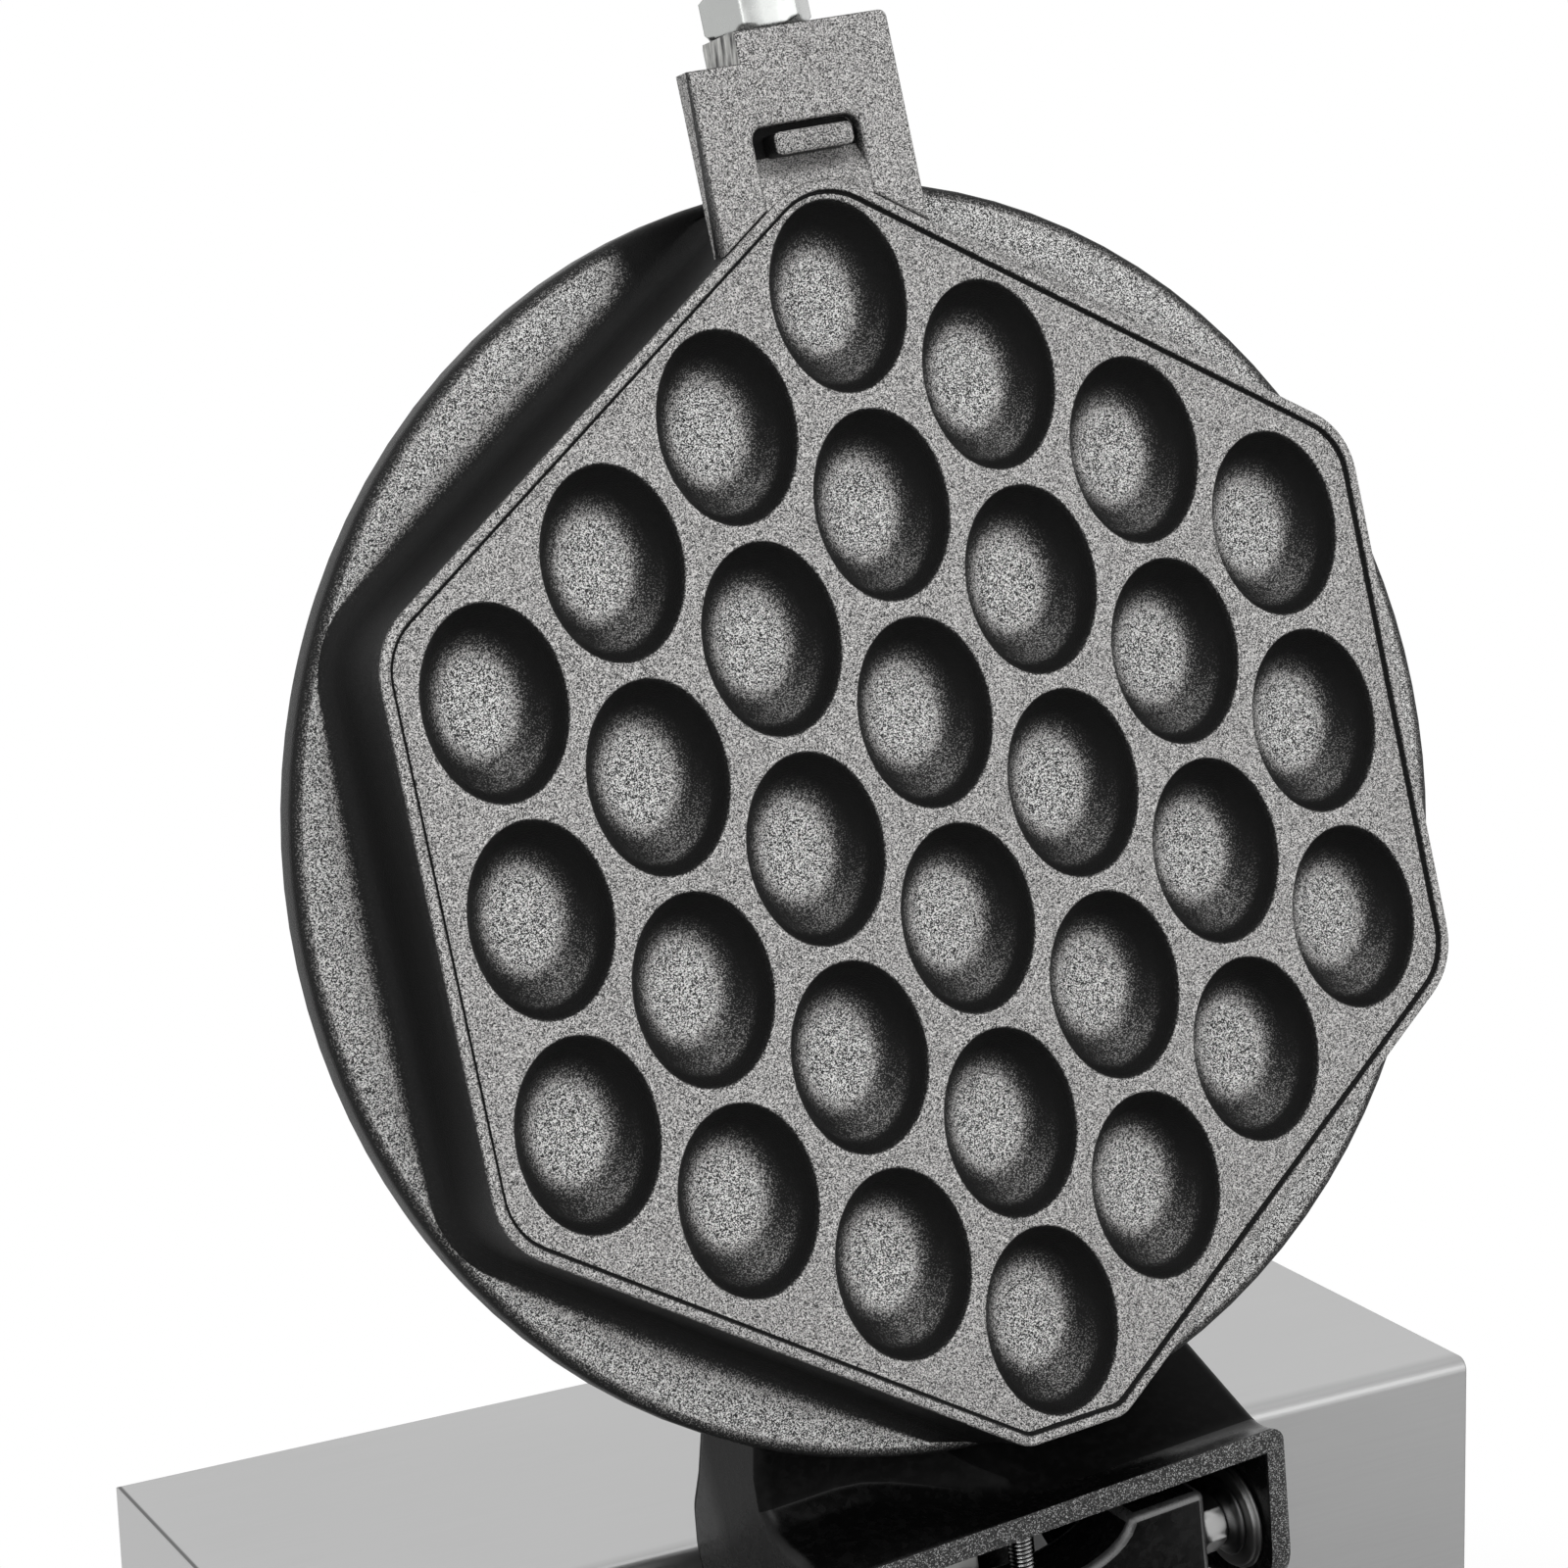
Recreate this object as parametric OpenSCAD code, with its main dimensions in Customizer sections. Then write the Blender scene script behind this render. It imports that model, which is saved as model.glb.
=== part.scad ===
// Countertop egg waffle maker: a steel body, a rolling lower plate and a hinged upper plate.
// Origin: on the bench, under the middle of the whole machine at rest. +X right, +Y back, +Z up.
// A plate's own frame: origin in the middle of its cooking face, +Y towards its handle,
// +Z out of the cooking face.

/* [Body] */
// Width of the tower and of the base
body_w = 265; // [250:1:300]
// Length of the base, front to back
base_l = 376; // [360:1:420]
// Depth of the tower, front to back
tower_d = 86; // [75:1:110]
// Height of the tower's top above the bench
body_h = 250; // [240:1:290]
// Height of the base's deck above the bench
deck_h = 70; // [62:1:80]
// Thickness of the stainless sheet
sheet_t = 1.2; // [0.8:0.1:2]
// Height of the rubber feet
foot_h = 15; // [10:1:20]
// Diameter of the rubber feet
foot_d = 26; // [20:1:32]

/* [Cooking plates] */
// Distance between the columns of cells
cell_column_pitch = 26; // [25:0.5:27]
// Distance between the cells in a column
cell_row_pitch = 36.7; // [36:0.1:37.5]
// Width of a cell's oval mouth
cell_w = 26.3; // [22:0.1:27]
// Length of a cell's oval mouth
cell_l = 33.9; // [28:0.1:35]
// Depth of a cell to its flat bottom
cell_depth = 9.5; // [7:0.5:10.5]
// Width of the six-sided plateau across its straight sides
plateau_w = 194; // [190:1:198]
// Length of the plateau from vertex to vertex
plateau_l = 229; // [226:1:232]
// Length of the plateau's straight sides
plateau_side = 100; // [94:1:104]
// Height of the plateau above the round flange
plateau_h = 18.6; // [16:0.2:22]
// Width of the raised lip round the cells
lip_w = 1.9; // [1.2:0.1:2.4]
// Depth of the cell field below the lip
field_sink = 0.9; // [0.5:0.1:1.5]
// Diameter of the round flange
flange_d = 227; // [224:1:232]
// Thickness of the round flange
flange_t = 6.5; // [5:0.5:9]
// Width of the neck that carries the handle
neck_w = 40; // [36:1:46]
// Distance from the plate's middle to the neck's end
neck_reach = 139; // [134:1:146]
// Thickness of the neck
neck_t = 20; // [19.5:0.5:22]

/* [Hinge] */
// Distance from the plates' middle to the lid's hinge pin
hinge_reach = 144; // [143:1:147]
// Distance of the hinge pin behind the lid's cooking face
pin_back = 30.5; // [30:0.5:32]
// Distance of the hinge pin in front of the tower
pin_reach = 46.9; // [46:0.1:54]
// Diameter of the pivot bolts
pivot_d = 6; // [5:0.5:7]
// Angle of the lid at rest, from closed
open_angle = 102.4; // [95:0.1:105]
// Roll of the plates about the axle at rest
rest_roll = 5.2; // [0:0.1:10]
// Gap between the closed plates' lips
mate_gap = 0.4; // [0.2:0.1:0.8]
// Width of the hinge hood across its side walls
hood_w = 97.2; // [94:0.2:104]
// Thickness of the hood's walls
hood_wall = 4; // [3:0.5:5]
// Height of the lower hinge lugs above the hinge pin
lug_h = 9.7; // [7:0.1:10.5]

/* [Axle] */
// Height of the tower's top above the axle
axle_drop = 30.4; // [30:0.1:36]
// Outer diameter of the hollow axle
axle_d = 22; // [18:1:26]
// Inner diameter of the hollow axle
axle_bore = 15; // [10:1:16]

/* [Handles] */
// Diameter of the handle rods
rod_d = 10; // [8:0.5:11]
// Length of the grips
grip_l = 118; // [90:1:140]
// Largest diameter of the grips
grip_d = 27; // [22:1:30]

/* [Controls] */
// Diameter of the control knobs
knob_d = 34; // [26:1:38]
// Height of the control knobs
knob_h = 17; // [12:1:24]
// Distance of the knobs' middles from the body's sides
knob_side = 46.5; // [38:0.5:52]

/* [Hidden] */

$fn = 48;
// Cuts run past the faces that they open by this much
overrun = 2;
// Small gap between faces that are seated on each other
seat_gap = 0.1;
// Radial clearance of a shaft that turns in its hole
run_gap = 0.05;
// Gap between pieces of different moving bodies
move_gap = 0.3;

// Places: the handle's reach and the gland's set where the tower stands
jam_nut_t = 8;
rod_straight = 14;
rod_step = 24;
grip_y = neck_reach + jam_nut_t + rod_straight + rod_step + rod_d / 2;
grip_end = grip_y + grip_l;
gland_nut_t = 5;
gland_cap_l = 8;
gland_reach = seat_gap + gland_nut_t + gland_cap_l;
tower_front_y = (pin_reach + hinge_reach + grip_end - tower_d - gland_reach) / 2;
base_y = tower_front_y + tower_d - base_l / 2;
axle_z = body_h - axle_drop;
pin_y = tower_front_y - pin_reach;
pin_rise = pin_back + mate_gap / 2;

// Colours
steel = [0.74, 0.74, 0.73];
zinc = [0.80, 0.80, 0.78];
coated = [0.25, 0.25, 0.25];
paint = [0.07, 0.07, 0.07];
rubber = [0.05, 0.05, 0.05];
plastic = [0.08, 0.08, 0.08];
beech = [0.60, 0.38, 0.20];

// The rolling assembly: origin on the axle, above the middle of the base
module in_rotor() {
    translate([0, 0, axle_z]) rotate([0, -rest_roll, 0]) children();
}
// The lower plate's frame
module in_lower() {
    in_rotor() translate([0, pin_y - hinge_reach, -mate_gap / 2]) rotate([0, 0, 180]) children();
}
// The lid's frame
module in_lid() {
    in_rotor() translate([0, pin_y, pin_rise]) rotate([180 - open_angle, 0, 0])
        translate([0, hinge_reach, pin_back]) children();
}

// Points of a polygon whose corners are rounded by the radii given for them
function unit(v) = v / norm(v);
function corner_arc(p, v, q, r, n) =
    let (a = unit(p - v), b = unit(q - v), half = acos(a * b) / 2,
        c = v + unit(a + b) * r / sin(half),
        s = v + a * r / tan(half) - c, e = v + b * r / tan(half) - c,
        t0 = atan2(s.y, s.x), d = atan2(e.y, e.x) - t0,
        turn = d > 180 ? d - 360 : d < -180 ? d + 360 : d)
    r <= 0 ? [v] : [for (i = [0:n]) c + r * [cos(t0 + turn * i / n), sin(t0 + turn * i / n)]];
function rounded(points, radii, n = 6) =
    let (k = len(points))
    [for (i = [0:k - 1]) each
        corner_arc(points[(i + k - 1) % k], points[i], points[(i + 1) % k], radii[i], n)];

module slab(x, y, z) {
    translate([x[0], y[0], z[0]]) cube([x[1] - x[0], y[1] - y[0], z[1] - z[0]]);
}

// Cooking plates
plate_back = plateau_h + flange_t;
plateau_round = 7;
slant_rise = (plateau_l - plateau_side) / 2;
slant_len = norm([plateau_w / 2, slant_rise]);
slant_nx = slant_rise / slant_len;
slant_ny = plateau_w / 2 / slant_len;
function plateau_points(inset) =
    let (d = slant_ny * plateau_l / 2 - inset, x = plateau_w / 2 - inset,
        top = d / slant_ny, side = (d - slant_nx * x) / slant_ny)
    [[x, -side], [x, side], [0, top], [-x, side], [-x, -side], [0, -top]];
module plateau_outline(inset) {
    r = plateau_round - inset;
    polygon(rounded(plateau_points(inset), [r, r, r, r, r, r]));
}

// Cells: seven columns, with three cells in the outer ones and six in the middle
cell_counts = [3, 4, 5, 6, 5, 4, 3];
cell_places = [for (c = [0:len(cell_counts) - 1]) for (k = [0:cell_counts[c] - 1])
    [(c - (len(cell_counts) - 1) / 2) * cell_column_pitch,
    (k - (cell_counts[c] - 1) / 2) * cell_row_pitch]];
// Depth of a cell's curve below its flat bottom, were it not cut off there
cell_round = 2.5;
cell_curve = cell_depth + cell_round;
cell_rise = (pow(cell_l / 2, 2) - pow(cell_curve, 2)) / (2 * cell_curve);
cell_steps = 10;
function cell_radius(x_share) = sqrt(pow(cell_rise, 2) + pow(cell_l / 2, 2) * (1 - pow(x_share, 2)));
module cell() {
    intersection() {
        translate([0, 0, cell_rise]) rotate([0, 90, 0]) rotate_extrude()
            polygon([[0, -cell_w / 2],
                for (i = [-cell_steps / 2:cell_steps / 2]) let (x_share = 2 * i / cell_steps)
                    [cell_radius(x_share), x_share * cell_w / 2],
                [0, cell_w / 2]]);
        translate([-cell_w, -cell_l, -cell_depth]) cube([2 * cell_w, 2 * cell_l, cell_depth + overrun]);
    }
}

// Neck, with its handle bore and its locating pocket
neck_overlap = 20;
neck_root = flange_d / 2 - neck_overlap;
neck_step = 10;
neck_drop = 5.5;
neck_round = 1.5;
// Behind this depth the neck's sides draw in towards its back
neck_edge_t = 5;
neck_draft = 7;
rod_z = -neck_t / 2;
rod_seat = 26;
module neck_outline() {
    w = neck_w / 2;
    polygon([[-w, neck_root], [w, neck_root], each corner_arc([w, neck_root], [w, neck_reach],
        [-w, neck_reach], neck_round, 4), [neck_step - w, neck_reach],
        [neck_step - w, neck_reach - neck_drop], [-w, neck_reach - neck_drop]]);
}
module neck() {
    w = neck_w / 2;
    intersection() {
        translate([0, 0, -neck_t]) linear_extrude(neck_t) neck_outline();
        translate([0, neck_reach + overrun, 0]) rotate([90, 0, 0])
            linear_extrude(neck_reach + 2 * overrun - neck_root)
                polygon([[-w - overrun, overrun], [-w - overrun, -neck_edge_t], [-w, -neck_edge_t],
                    [neck_draft - w, -neck_t], [neck_draft - w, -neck_t - overrun],
                    [w - neck_draft, -neck_t - overrun], [w - neck_draft, -neck_t], [w, -neck_edge_t],
                    [w + overrun, -neck_edge_t], [w + overrun, overrun]]);
    }
}
pocket_w = 20;
pocket_l = 9;
pocket_depth = 3.4;
pocket_y = 118;
tab_w = 15;
tab_l = 4;
tab_h = 2;

// Back of a plate: room for the heating element, and its fixing holes
recess_d = 168;
recess_depth = 9.6;
fixing_angles = [0, 50, 130, 180, 230, 310];
fixing_r = 104;
fixing_d = 4;
fixing_depth = 5;
stud_d = 5;
stud_depth = 6;
module fixings() {
    for (a = fixing_angles) rotate(a) translate([fixing_r, 0, 0]) children();
}
module plate(with_tab) {
    difference() {
        union() {
            translate([0, 0, -plate_back]) cylinder(d = flange_d, h = flange_t, $fn = 96);
            translate([0, 0, -plate_back]) linear_extrude(plate_back) plateau_outline(0);
            neck();
        }
        translate([0, 0, -field_sink]) linear_extrude(field_sink + overrun) plateau_outline(lip_w);
        for (p = cell_places) translate([p.x, p.y, -field_sink]) cell();
        translate([0, 0, -plate_back - overrun]) cylinder(d = recess_d, h = recess_depth + overrun);
        translate([0, neck_reach + overrun, rod_z]) rotate([90, 0, 0])
            cylinder(d = rod_d + 2 * run_gap, h = rod_seat + overrun);
        slab([-pocket_w / 2, pocket_w / 2], [pocket_y - pocket_l / 2, pocket_y + pocket_l / 2],
            [-pocket_depth, overrun]);
        fixings() translate([0, 0, -plate_back - overrun]) cylinder(d = fixing_d, h = fixing_depth + overrun);
        translate([0, 0, -plate_back]) cylinder(d = stud_d, h = recess_depth + stud_depth);
    }
    if (with_tab) slab([-tab_w / 2, tab_w / 2], [pocket_y - tab_l / 2, pocket_y + tab_l / 2],
        [-pocket_depth, tab_h]);
}

// Heating element: a tube bent into a ring in the plate's back, with two terminals
element_d = 8;
element_ring = 120;
element_z = -plate_back + recess_depth - element_d / 2 - seat_gap;
terminal_d = 5;
terminal_x = 9;
terminal_y = -sqrt(pow(element_ring / 2, 2) - pow(terminal_x, 2));
cup_d = 194;
cup_depth = 22;
cup_wall = 3;
cup_flange_d = 218;
cup_front = -plate_back - seat_gap;
cup_back = cup_front - cup_depth;
terminal_end_room = 3;
terminal_l = element_z - cup_back - cup_wall - terminal_end_room;
module terminals(d, l) {
    for (s = [-1, 1]) translate([s * terminal_x, terminal_y, element_z - l]) cylinder(d = d, h = l);
}
module heater() {
    translate([0, 0, element_z]) rotate_extrude($fn = 96)
        translate([element_ring / 2, 0]) circle(d = element_d, $fn = 32);
    terminals(terminal_d, terminal_l);
}
clamp_t = 1.2;
clamp_d = 150;
clamp_z = element_z - element_d / 2 - seat_gap - clamp_t;
screw_gap = 0.05;
terminal_room = 3;
module clamp_plate() {
    difference() {
        translate([0, 0, clamp_z]) cylinder(d = clamp_d, h = clamp_t);
        terminals(terminal_d + terminal_room, terminal_l);
    }
    // A stud in its middle screws into the cooking plate
    translate([0, 0, clamp_z])
        cylinder(d = stud_d - 2 * screw_gap, h = recess_depth - plate_back + stud_depth - seat_gap - clamp_z);
}
pad_room = 3;
pad_d = cup_d - 2 * cup_wall - 2 * pad_room;
module insulation() {
    difference() {
        translate([0, 0, cup_back + cup_wall + seat_gap])
            cylinder(d = pad_d, h = cup_depth - cup_wall - 2 * seat_gap);
        translate([0, 0, cup_back]) terminals_room();
    }
}
module terminals_room() {
    for (s = [-1, 1]) translate([s * terminal_x, terminal_y, 0])
        cylinder(d = terminal_d + terminal_room, h = cup_depth + overrun);
}

// Back housings: a round cup behind each plate
module cup() {
    translate([0, 0, cup_back]) cylinder(d = cup_d, h = cup_depth, $fn = 96);
    translate([0, 0, cup_front - cup_wall]) cylinder(d = cup_flange_d, h = cup_wall, $fn = 96);
}
module cup_room() {
    translate([0, 0, cup_back + cup_wall]) cylinder(d = cup_d - 2 * cup_wall, h = cup_depth, $fn = 96);
    fixings() translate([0, 0, cup_front - cup_wall - overrun])
        cylinder(d = fixing_d + 2 * seat_gap, h = cup_wall + 2 * overrun);
}
screw_head_d = 8;
screw_head_h = 2.6;
module housing_screws() {
    fixings() {
        translate([0, 0, cup_front - cup_wall - seat_gap - screw_head_h]) difference() {
            cylinder(d = screw_head_d, h = screw_head_h);
            translate([0, 0, -overrun])
                cylinder(d = screw_head_d / 2, h = overrun + screw_head_h / 2, $fn = 6);
        }
        translate([0, 0, cup_front - cup_wall - seat_gap])
            cylinder(d = fixing_d - 2 * screw_gap, h = cup_wall + seat_gap + fixing_depth);
    }
}

// Hood: the lid's black hinge box, open at its front and below
hood_rim = 13.5;
hood_top = 126.2;
hood_fillet = 11;
// From this depth the front wall slants in behind the plate
slant_start = 20;
slant = 34.4;
// Depth at which the hood's room ends behind the plate
room_tip = 52;
riser_front = 28.5;
riser_overlap = 12;
riser_root = cup_d / 2 - riser_overlap;
hood_back = 67;
hood_back_end = 137;
hood_end_room = 13;
hood_end = hinge_reach + hood_end_room;
hood_end_round = 9;
// The rim leans back towards the hood's end
rim_lean = 7;
// The hood's back swells out from the cup in two steps
bulge_y = 15;
bulge_z = 8;
shoulder_y = 8;
shoulder_z = 2.5;
bore_x = hood_w / 2 - hood_wall;
room_slant_start = slant_start + hood_wall * tan(slant / 2);
// Place of the slanted wall's outer face at a depth
function wall_y(depth) = -hood_top + (depth - slant_start) * tan(slant);
function hood_front_points() = [[-hood_top, -hood_rim],
    each corner_arc([-hood_top, -hood_rim], [-hood_top, -slant_start], [wall_y(-cup_back), cup_back],
        hood_fillet, 6), [wall_y(-cup_back), cup_back]];
function hood_back_points() = [[-riser_root, cup_back], [-cup_d / 2, cup_back - cup_wall],
    [-hood_top + bulge_y, -hood_back + bulge_z], [-hood_top + shoulder_y, -hood_back + shoulder_z],
    [-hood_top, -hood_back],
    [-hood_back_end, -hood_back]];
// Turns a drawing of (y, z) into a wall that lies across x
module across(w) {
    rotate([90, 0, 90]) translate([0, 0, -w / 2]) linear_extrude(w) children();
}
module hood_side() {
    polygon(concat(hood_front_points(), hood_back_points(),
        corner_arc([-hood_back_end, -hood_back], [-hood_end, -2 * pin_back + hood_rim],
            [-hood_end, -hood_rim - rim_lean], hood_end_round, 6),
        corner_arc([-hood_end, -2 * pin_back], [-hood_end, -hood_rim - rim_lean],
            [-hood_top, -hood_rim], hood_end_round, 6)));
}
module hood_room() {
    polygon([[-hood_top - hood_wall, overrun - hood_rim], [-hood_top - hood_wall, -room_slant_start],
        [wall_y(room_tip) - hood_wall / cos(slant), -room_tip],
        [-hood_top, -hood_back + hood_wall + shoulder_z / 2], [-hood_back_end, -hood_back + hood_wall],
        [-hood_end - overrun, -hood_back + hood_wall], [-hood_end - overrun, overrun - hood_rim]]);
}
// Riser: the narrower block that carries the wires from the cup to the hood
module riser_side() {
    in_wall = hood_wall / 2;
    polygon([[-riser_root, cup_back - in_wall], [-riser_root, -riser_front],
        [wall_y(riser_front) + in_wall, -riser_front], [wall_y(in_wall - cup_back) + in_wall, cup_back - in_wall]]);
}
module hood_back_cut() {
    z = -hood_back + hood_wall + overrun;
    polygon([[-hood_back_end, z], [-hood_end - overrun, z],
        [-hood_end - overrun, -hood_back - overrun], [-hood_back_end, -hood_back - overrun]]);
}
riser_room_w = 74;
hub_d = 36;
hub_room = 2;
back_cut_w = hub_d + 2 * hub_room;
module upper_housing() {
    color(paint) in_lid() difference() {
        union() {
            cup();
            across(hood_w) hood_side();
            across(riser_room_w + 2 * hood_wall) riser_side();
        }
        cup_room();
        across(hood_w - 2 * hood_wall) hood_room();
        across(back_cut_w) hood_back_cut();
        // Wiring space between the cup and the hood
        slab([-riser_room_w / 2, riser_room_w / 2], [-hood_top - hood_wall - overrun, -riser_root + overrun],
            [cup_back + cup_wall, -riser_front - hood_wall]);
        translate([-hood_w / 2 - overrun, -hinge_reach, -pin_back]) rotate([0, 90, 0])
            cylinder(d = pivot_d + 2 * run_gap, h = hood_w + 2 * overrun);
    }
}

// Lower housing: the cup, the hinge lugs and the hub that turns on the axle
// Height of the pin above the lower plate's face
pin_h = pin_back + mate_gap;
lug_front = 6.1;
lug_back = 8.2;
lug_round = 3;
lug_top = pin_h + lug_h;
// The valley between the lugs, half an oval
valley_half_w = 18.8;
valley_depth = 8;
nut_t = 5;
cup_washer_t = 2.2;
flat_washer_t = 1.7;
flat_washer_gap = 0.3;
stack_x = bore_x - flat_washer_gap;
lug_x = stack_x - flat_washer_t - cup_washer_t - nut_t - 3 * seat_gap;
hub_gap = 6.5;
yoke_w = 2 * lug_x;
yoke_top = -3;
yoke_back = hinge_reach + lug_back;
hub_back = hinge_reach + pin_reach - hub_gap;
lug_foot = 8;
yoke_chamfer = 8;
thread_depth = 15;
module yoke_side() {
    polygon([[-riser_root, cup_back], [-riser_root, -riser_front], [-flange_d / 2 - overrun, -riser_front],
        [-flange_d / 2 - lug_foot, yoke_top], [-yoke_back, yoke_top], [-yoke_back, cup_back + yoke_chamfer],
        [-yoke_back + yoke_chamfer, cup_back]]);
}
// The lugs and the web between them, drawn from the front and from the side
module lugs() {
    front = lug_front - hinge_reach;
    low = yoke_top - overrun;
    intersection() {
        translate([0, front + lug_foot, 0]) rotate([90, 0, 0])
            linear_extrude(yoke_back + front + lug_foot) polygon([[-lug_x, low], [lug_x, low], [lug_x, lug_top],
                for (i = [0:12]) [valley_half_w * cos(15 * i), lug_top - valley_depth * sin(15 * i)],
                [-lug_x, lug_top]]);
        across(yoke_w + overrun)
            polygon([[-yoke_back, low], [front + lug_foot, low], [front + lug_foot, yoke_top],
                [front, yoke_top + lug_foot],
                each corner_arc([front, yoke_top], [front, lug_top], [-yoke_back, lug_top], lug_round, 4),
                [-yoke_back, lug_top]]);
    }
}
stop_back = 2.4;
stop_y = hinge_reach + stop_back;
stop_d = 5;
// The locknut sits in a spot face in the valley
stop_spot_d = 13;
stop_spot_drop = 2.5;
stop_spot_z = pin_h - stop_spot_drop;
stop_foot = axle_bore / 2 + overrun;
hub_seat = 24;
wire_hole_d = 10;
yoke_room_w = 40;
yoke_room_wall = 5;
module lower_housing() {
    color(paint) in_lower() difference() {
        union() {
            cup();
            across(yoke_w) yoke_side();
            lugs();
            translate([0, -hub_back, mate_gap / 2]) rotate([-90, 0, 0])
                cylinder(d = hub_d, h = hub_back - hinge_reach - lug_back / 2);
        }
        cup_room();
        // Wiring space from the cup back, and up into the axle's bore
        slab([-yoke_room_w / 2, yoke_room_w / 2], [-yoke_back + yoke_chamfer, -riser_root + overrun],
            [cup_back + cup_wall, -riser_front - yoke_room_wall]);
        translate([0, -hinge_reach, cup_back + cup_wall]) cylinder(d = wire_hole_d, h = -cup_back - cup_wall);
        translate([0, -hub_back - overrun, mate_gap / 2]) rotate([-90, 0, 0])
            cylinder(d = axle_d + 2 * run_gap, h = hub_seat + overrun);
        translate([0, -hub_back, mate_gap / 2]) rotate([-90, 0, 0])
            cylinder(d = axle_bore, h = hub_back - hinge_reach);
        for (s = [-1, 1]) translate([s * (lug_x + overrun), -hinge_reach, pin_h])
            rotate([0, -s * 90, 0]) cylinder(d = pivot_d + 2 * run_gap, h = thread_depth + overrun);
        translate([0, -stop_y, stop_foot]) cylinder(d = stop_d + 2 * run_gap, h = lug_top - stop_foot);
        translate([0, -stop_y, stop_spot_z]) cylinder(d = stop_spot_d, h = lug_top - stop_spot_z);
    }
}

// Pivot bolts, one in each lug, with a jam nut, a cup washer and a flat washer
bolt_head_af = 10;
bolt_head_t = 4;
nut_af = 10;
cup_washer_d = 15;
flat_washer_d = 21;
module along_pin() {
    in_rotor() translate([0, pin_y, pin_rise]) children();
}
module both_sides(x) {
    for (s = [-1, 1]) translate([s * x, 0, 0]) rotate([0, s * 90, 0]) children();
}
module hex(af, h) {
    cylinder(d = af / cos(30), h = h, $fn = 6);
}
module pivot_bolts() {
    shank_in = lug_x - thread_depth;
    color(zinc) along_pin() both_sides(shank_in) {
        cylinder(d = pivot_d, h = hood_w / 2 + move_gap - shank_in);
        translate([0, 0, hood_w / 2 + move_gap - shank_in]) hex(bolt_head_af, bolt_head_t);
    }
}
module ring(outer, inner, h) {
    difference() {
        cylinder(d = outer, h = h);
        translate([0, 0, -overrun]) cylinder(d = inner, h = h + 2 * overrun);
    }
}
module pivot_nuts() {
    color(zinc) along_pin() both_sides(lug_x + seat_gap) difference() {
        hex(nut_af, nut_t);
        translate([0, 0, -overrun]) cylinder(d = pivot_d + 2 * run_gap, h = nut_t + 2 * overrun);
    }
}
module cup_washers() {
    color(coated) along_pin() both_sides(lug_x + nut_t + 2 * seat_gap) difference() {
        cylinder(d1 = nut_af, d2 = cup_washer_d, h = cup_washer_t);
        translate([0, 0, -overrun]) cylinder(d = pivot_d + 2 * run_gap, h = cup_washer_t + 2 * overrun);
    }
}
module flat_washers() {
    color(zinc) along_pin() both_sides(stack_x - flat_washer_t)
        ring(flat_washer_d, pivot_d + 2 * run_gap, flat_washer_t);
}

// Stop screw under the hood's top wall, with its locknut and the slotted plate beside it
// Distance of the hood's slanted inner wall from the pin, and its tilt when the lid is open
stop_contact = (hinge_reach - hood_top - hood_wall) * cos(slant) + (pin_back - room_slant_start) * sin(slant);
tilt = slant - (open_angle - 90);
// Height of the open hood's inner wall over a point this far behind the pin
function under_hood(back) = pin_h + (stop_contact + back * sin(tilt)) / cos(tilt);
locknut_t = 4;
locknut_af = 8;
module stop_screw() {
    tip = under_hood(stop_back) - move_gap - stop_d / 2 * tan(tilt);
    color(zinc) in_lower() translate([0, -stop_y, stop_foot + seat_gap])
        cylinder(d = stop_d, h = tip - stop_foot - seat_gap);
}
module stop_locknut() {
    color(zinc) in_lower() translate([0, -stop_y, stop_spot_z + seat_gap]) difference() {
        hex(locknut_af, locknut_t);
        translate([0, 0, -overrun]) cylinder(d = stop_d + 2 * run_gap, h = locknut_t + 2 * overrun);
    }
}
stop_plate_t = 2;
stop_plate_w = 31;
stop_plate_x = 6;
stop_plate_foot = 18;
stop_plate_y = yoke_back + seat_gap;
stop_plate_top = under_hood(stop_plate_y - hinge_reach) - move_gap;
slot_w = 6.5;
slot_l = 14;
// Height of the slot's middle below the pin
slot_drop = 1.5;
slot_z = pin_h - slot_drop;
module stop_plate() {
    slot_x = stop_plate_x + stop_plate_w / 2;
    straight = (slot_l - slot_w) / 2;
    color(steel) in_lower() difference() {
        slab([stop_plate_x, stop_plate_x + stop_plate_w], [-stop_plate_y - stop_plate_t, -stop_plate_y],
            [-stop_plate_foot, stop_plate_top]);
        translate([slot_x, -stop_plate_y + overrun, slot_z]) rotate([90, 0, 0])
            for (k = [-1, 1]) translate([0, k * straight, 0])
                cylinder(d = slot_w, h = stop_plate_t + 2 * overrun);
        slab([slot_x - slot_w / 2, slot_x + slot_w / 2],
            [-stop_plate_y - stop_plate_t - overrun, -stop_plate_y + overrun],
            [slot_z - straight, slot_z + straight]);
        translate([0, -hub_back, mate_gap / 2]) rotate([-90, 0, 0])
            cylinder(d = hub_d + 2 * move_gap, h = hub_back);
    }
}

// Handles: a stepped rod screwed into the neck, a jam nut and a turned grip
jam_nut_af = 17;
jam_nut_turn = 19;
rod_offset = 9;
// The rod swells a little at its two bends, and is a little thinner between them
elbow_swell = 0.6;
crank_thinning = 0.4;
grip_depth = grip_l - grip_d;
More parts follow.
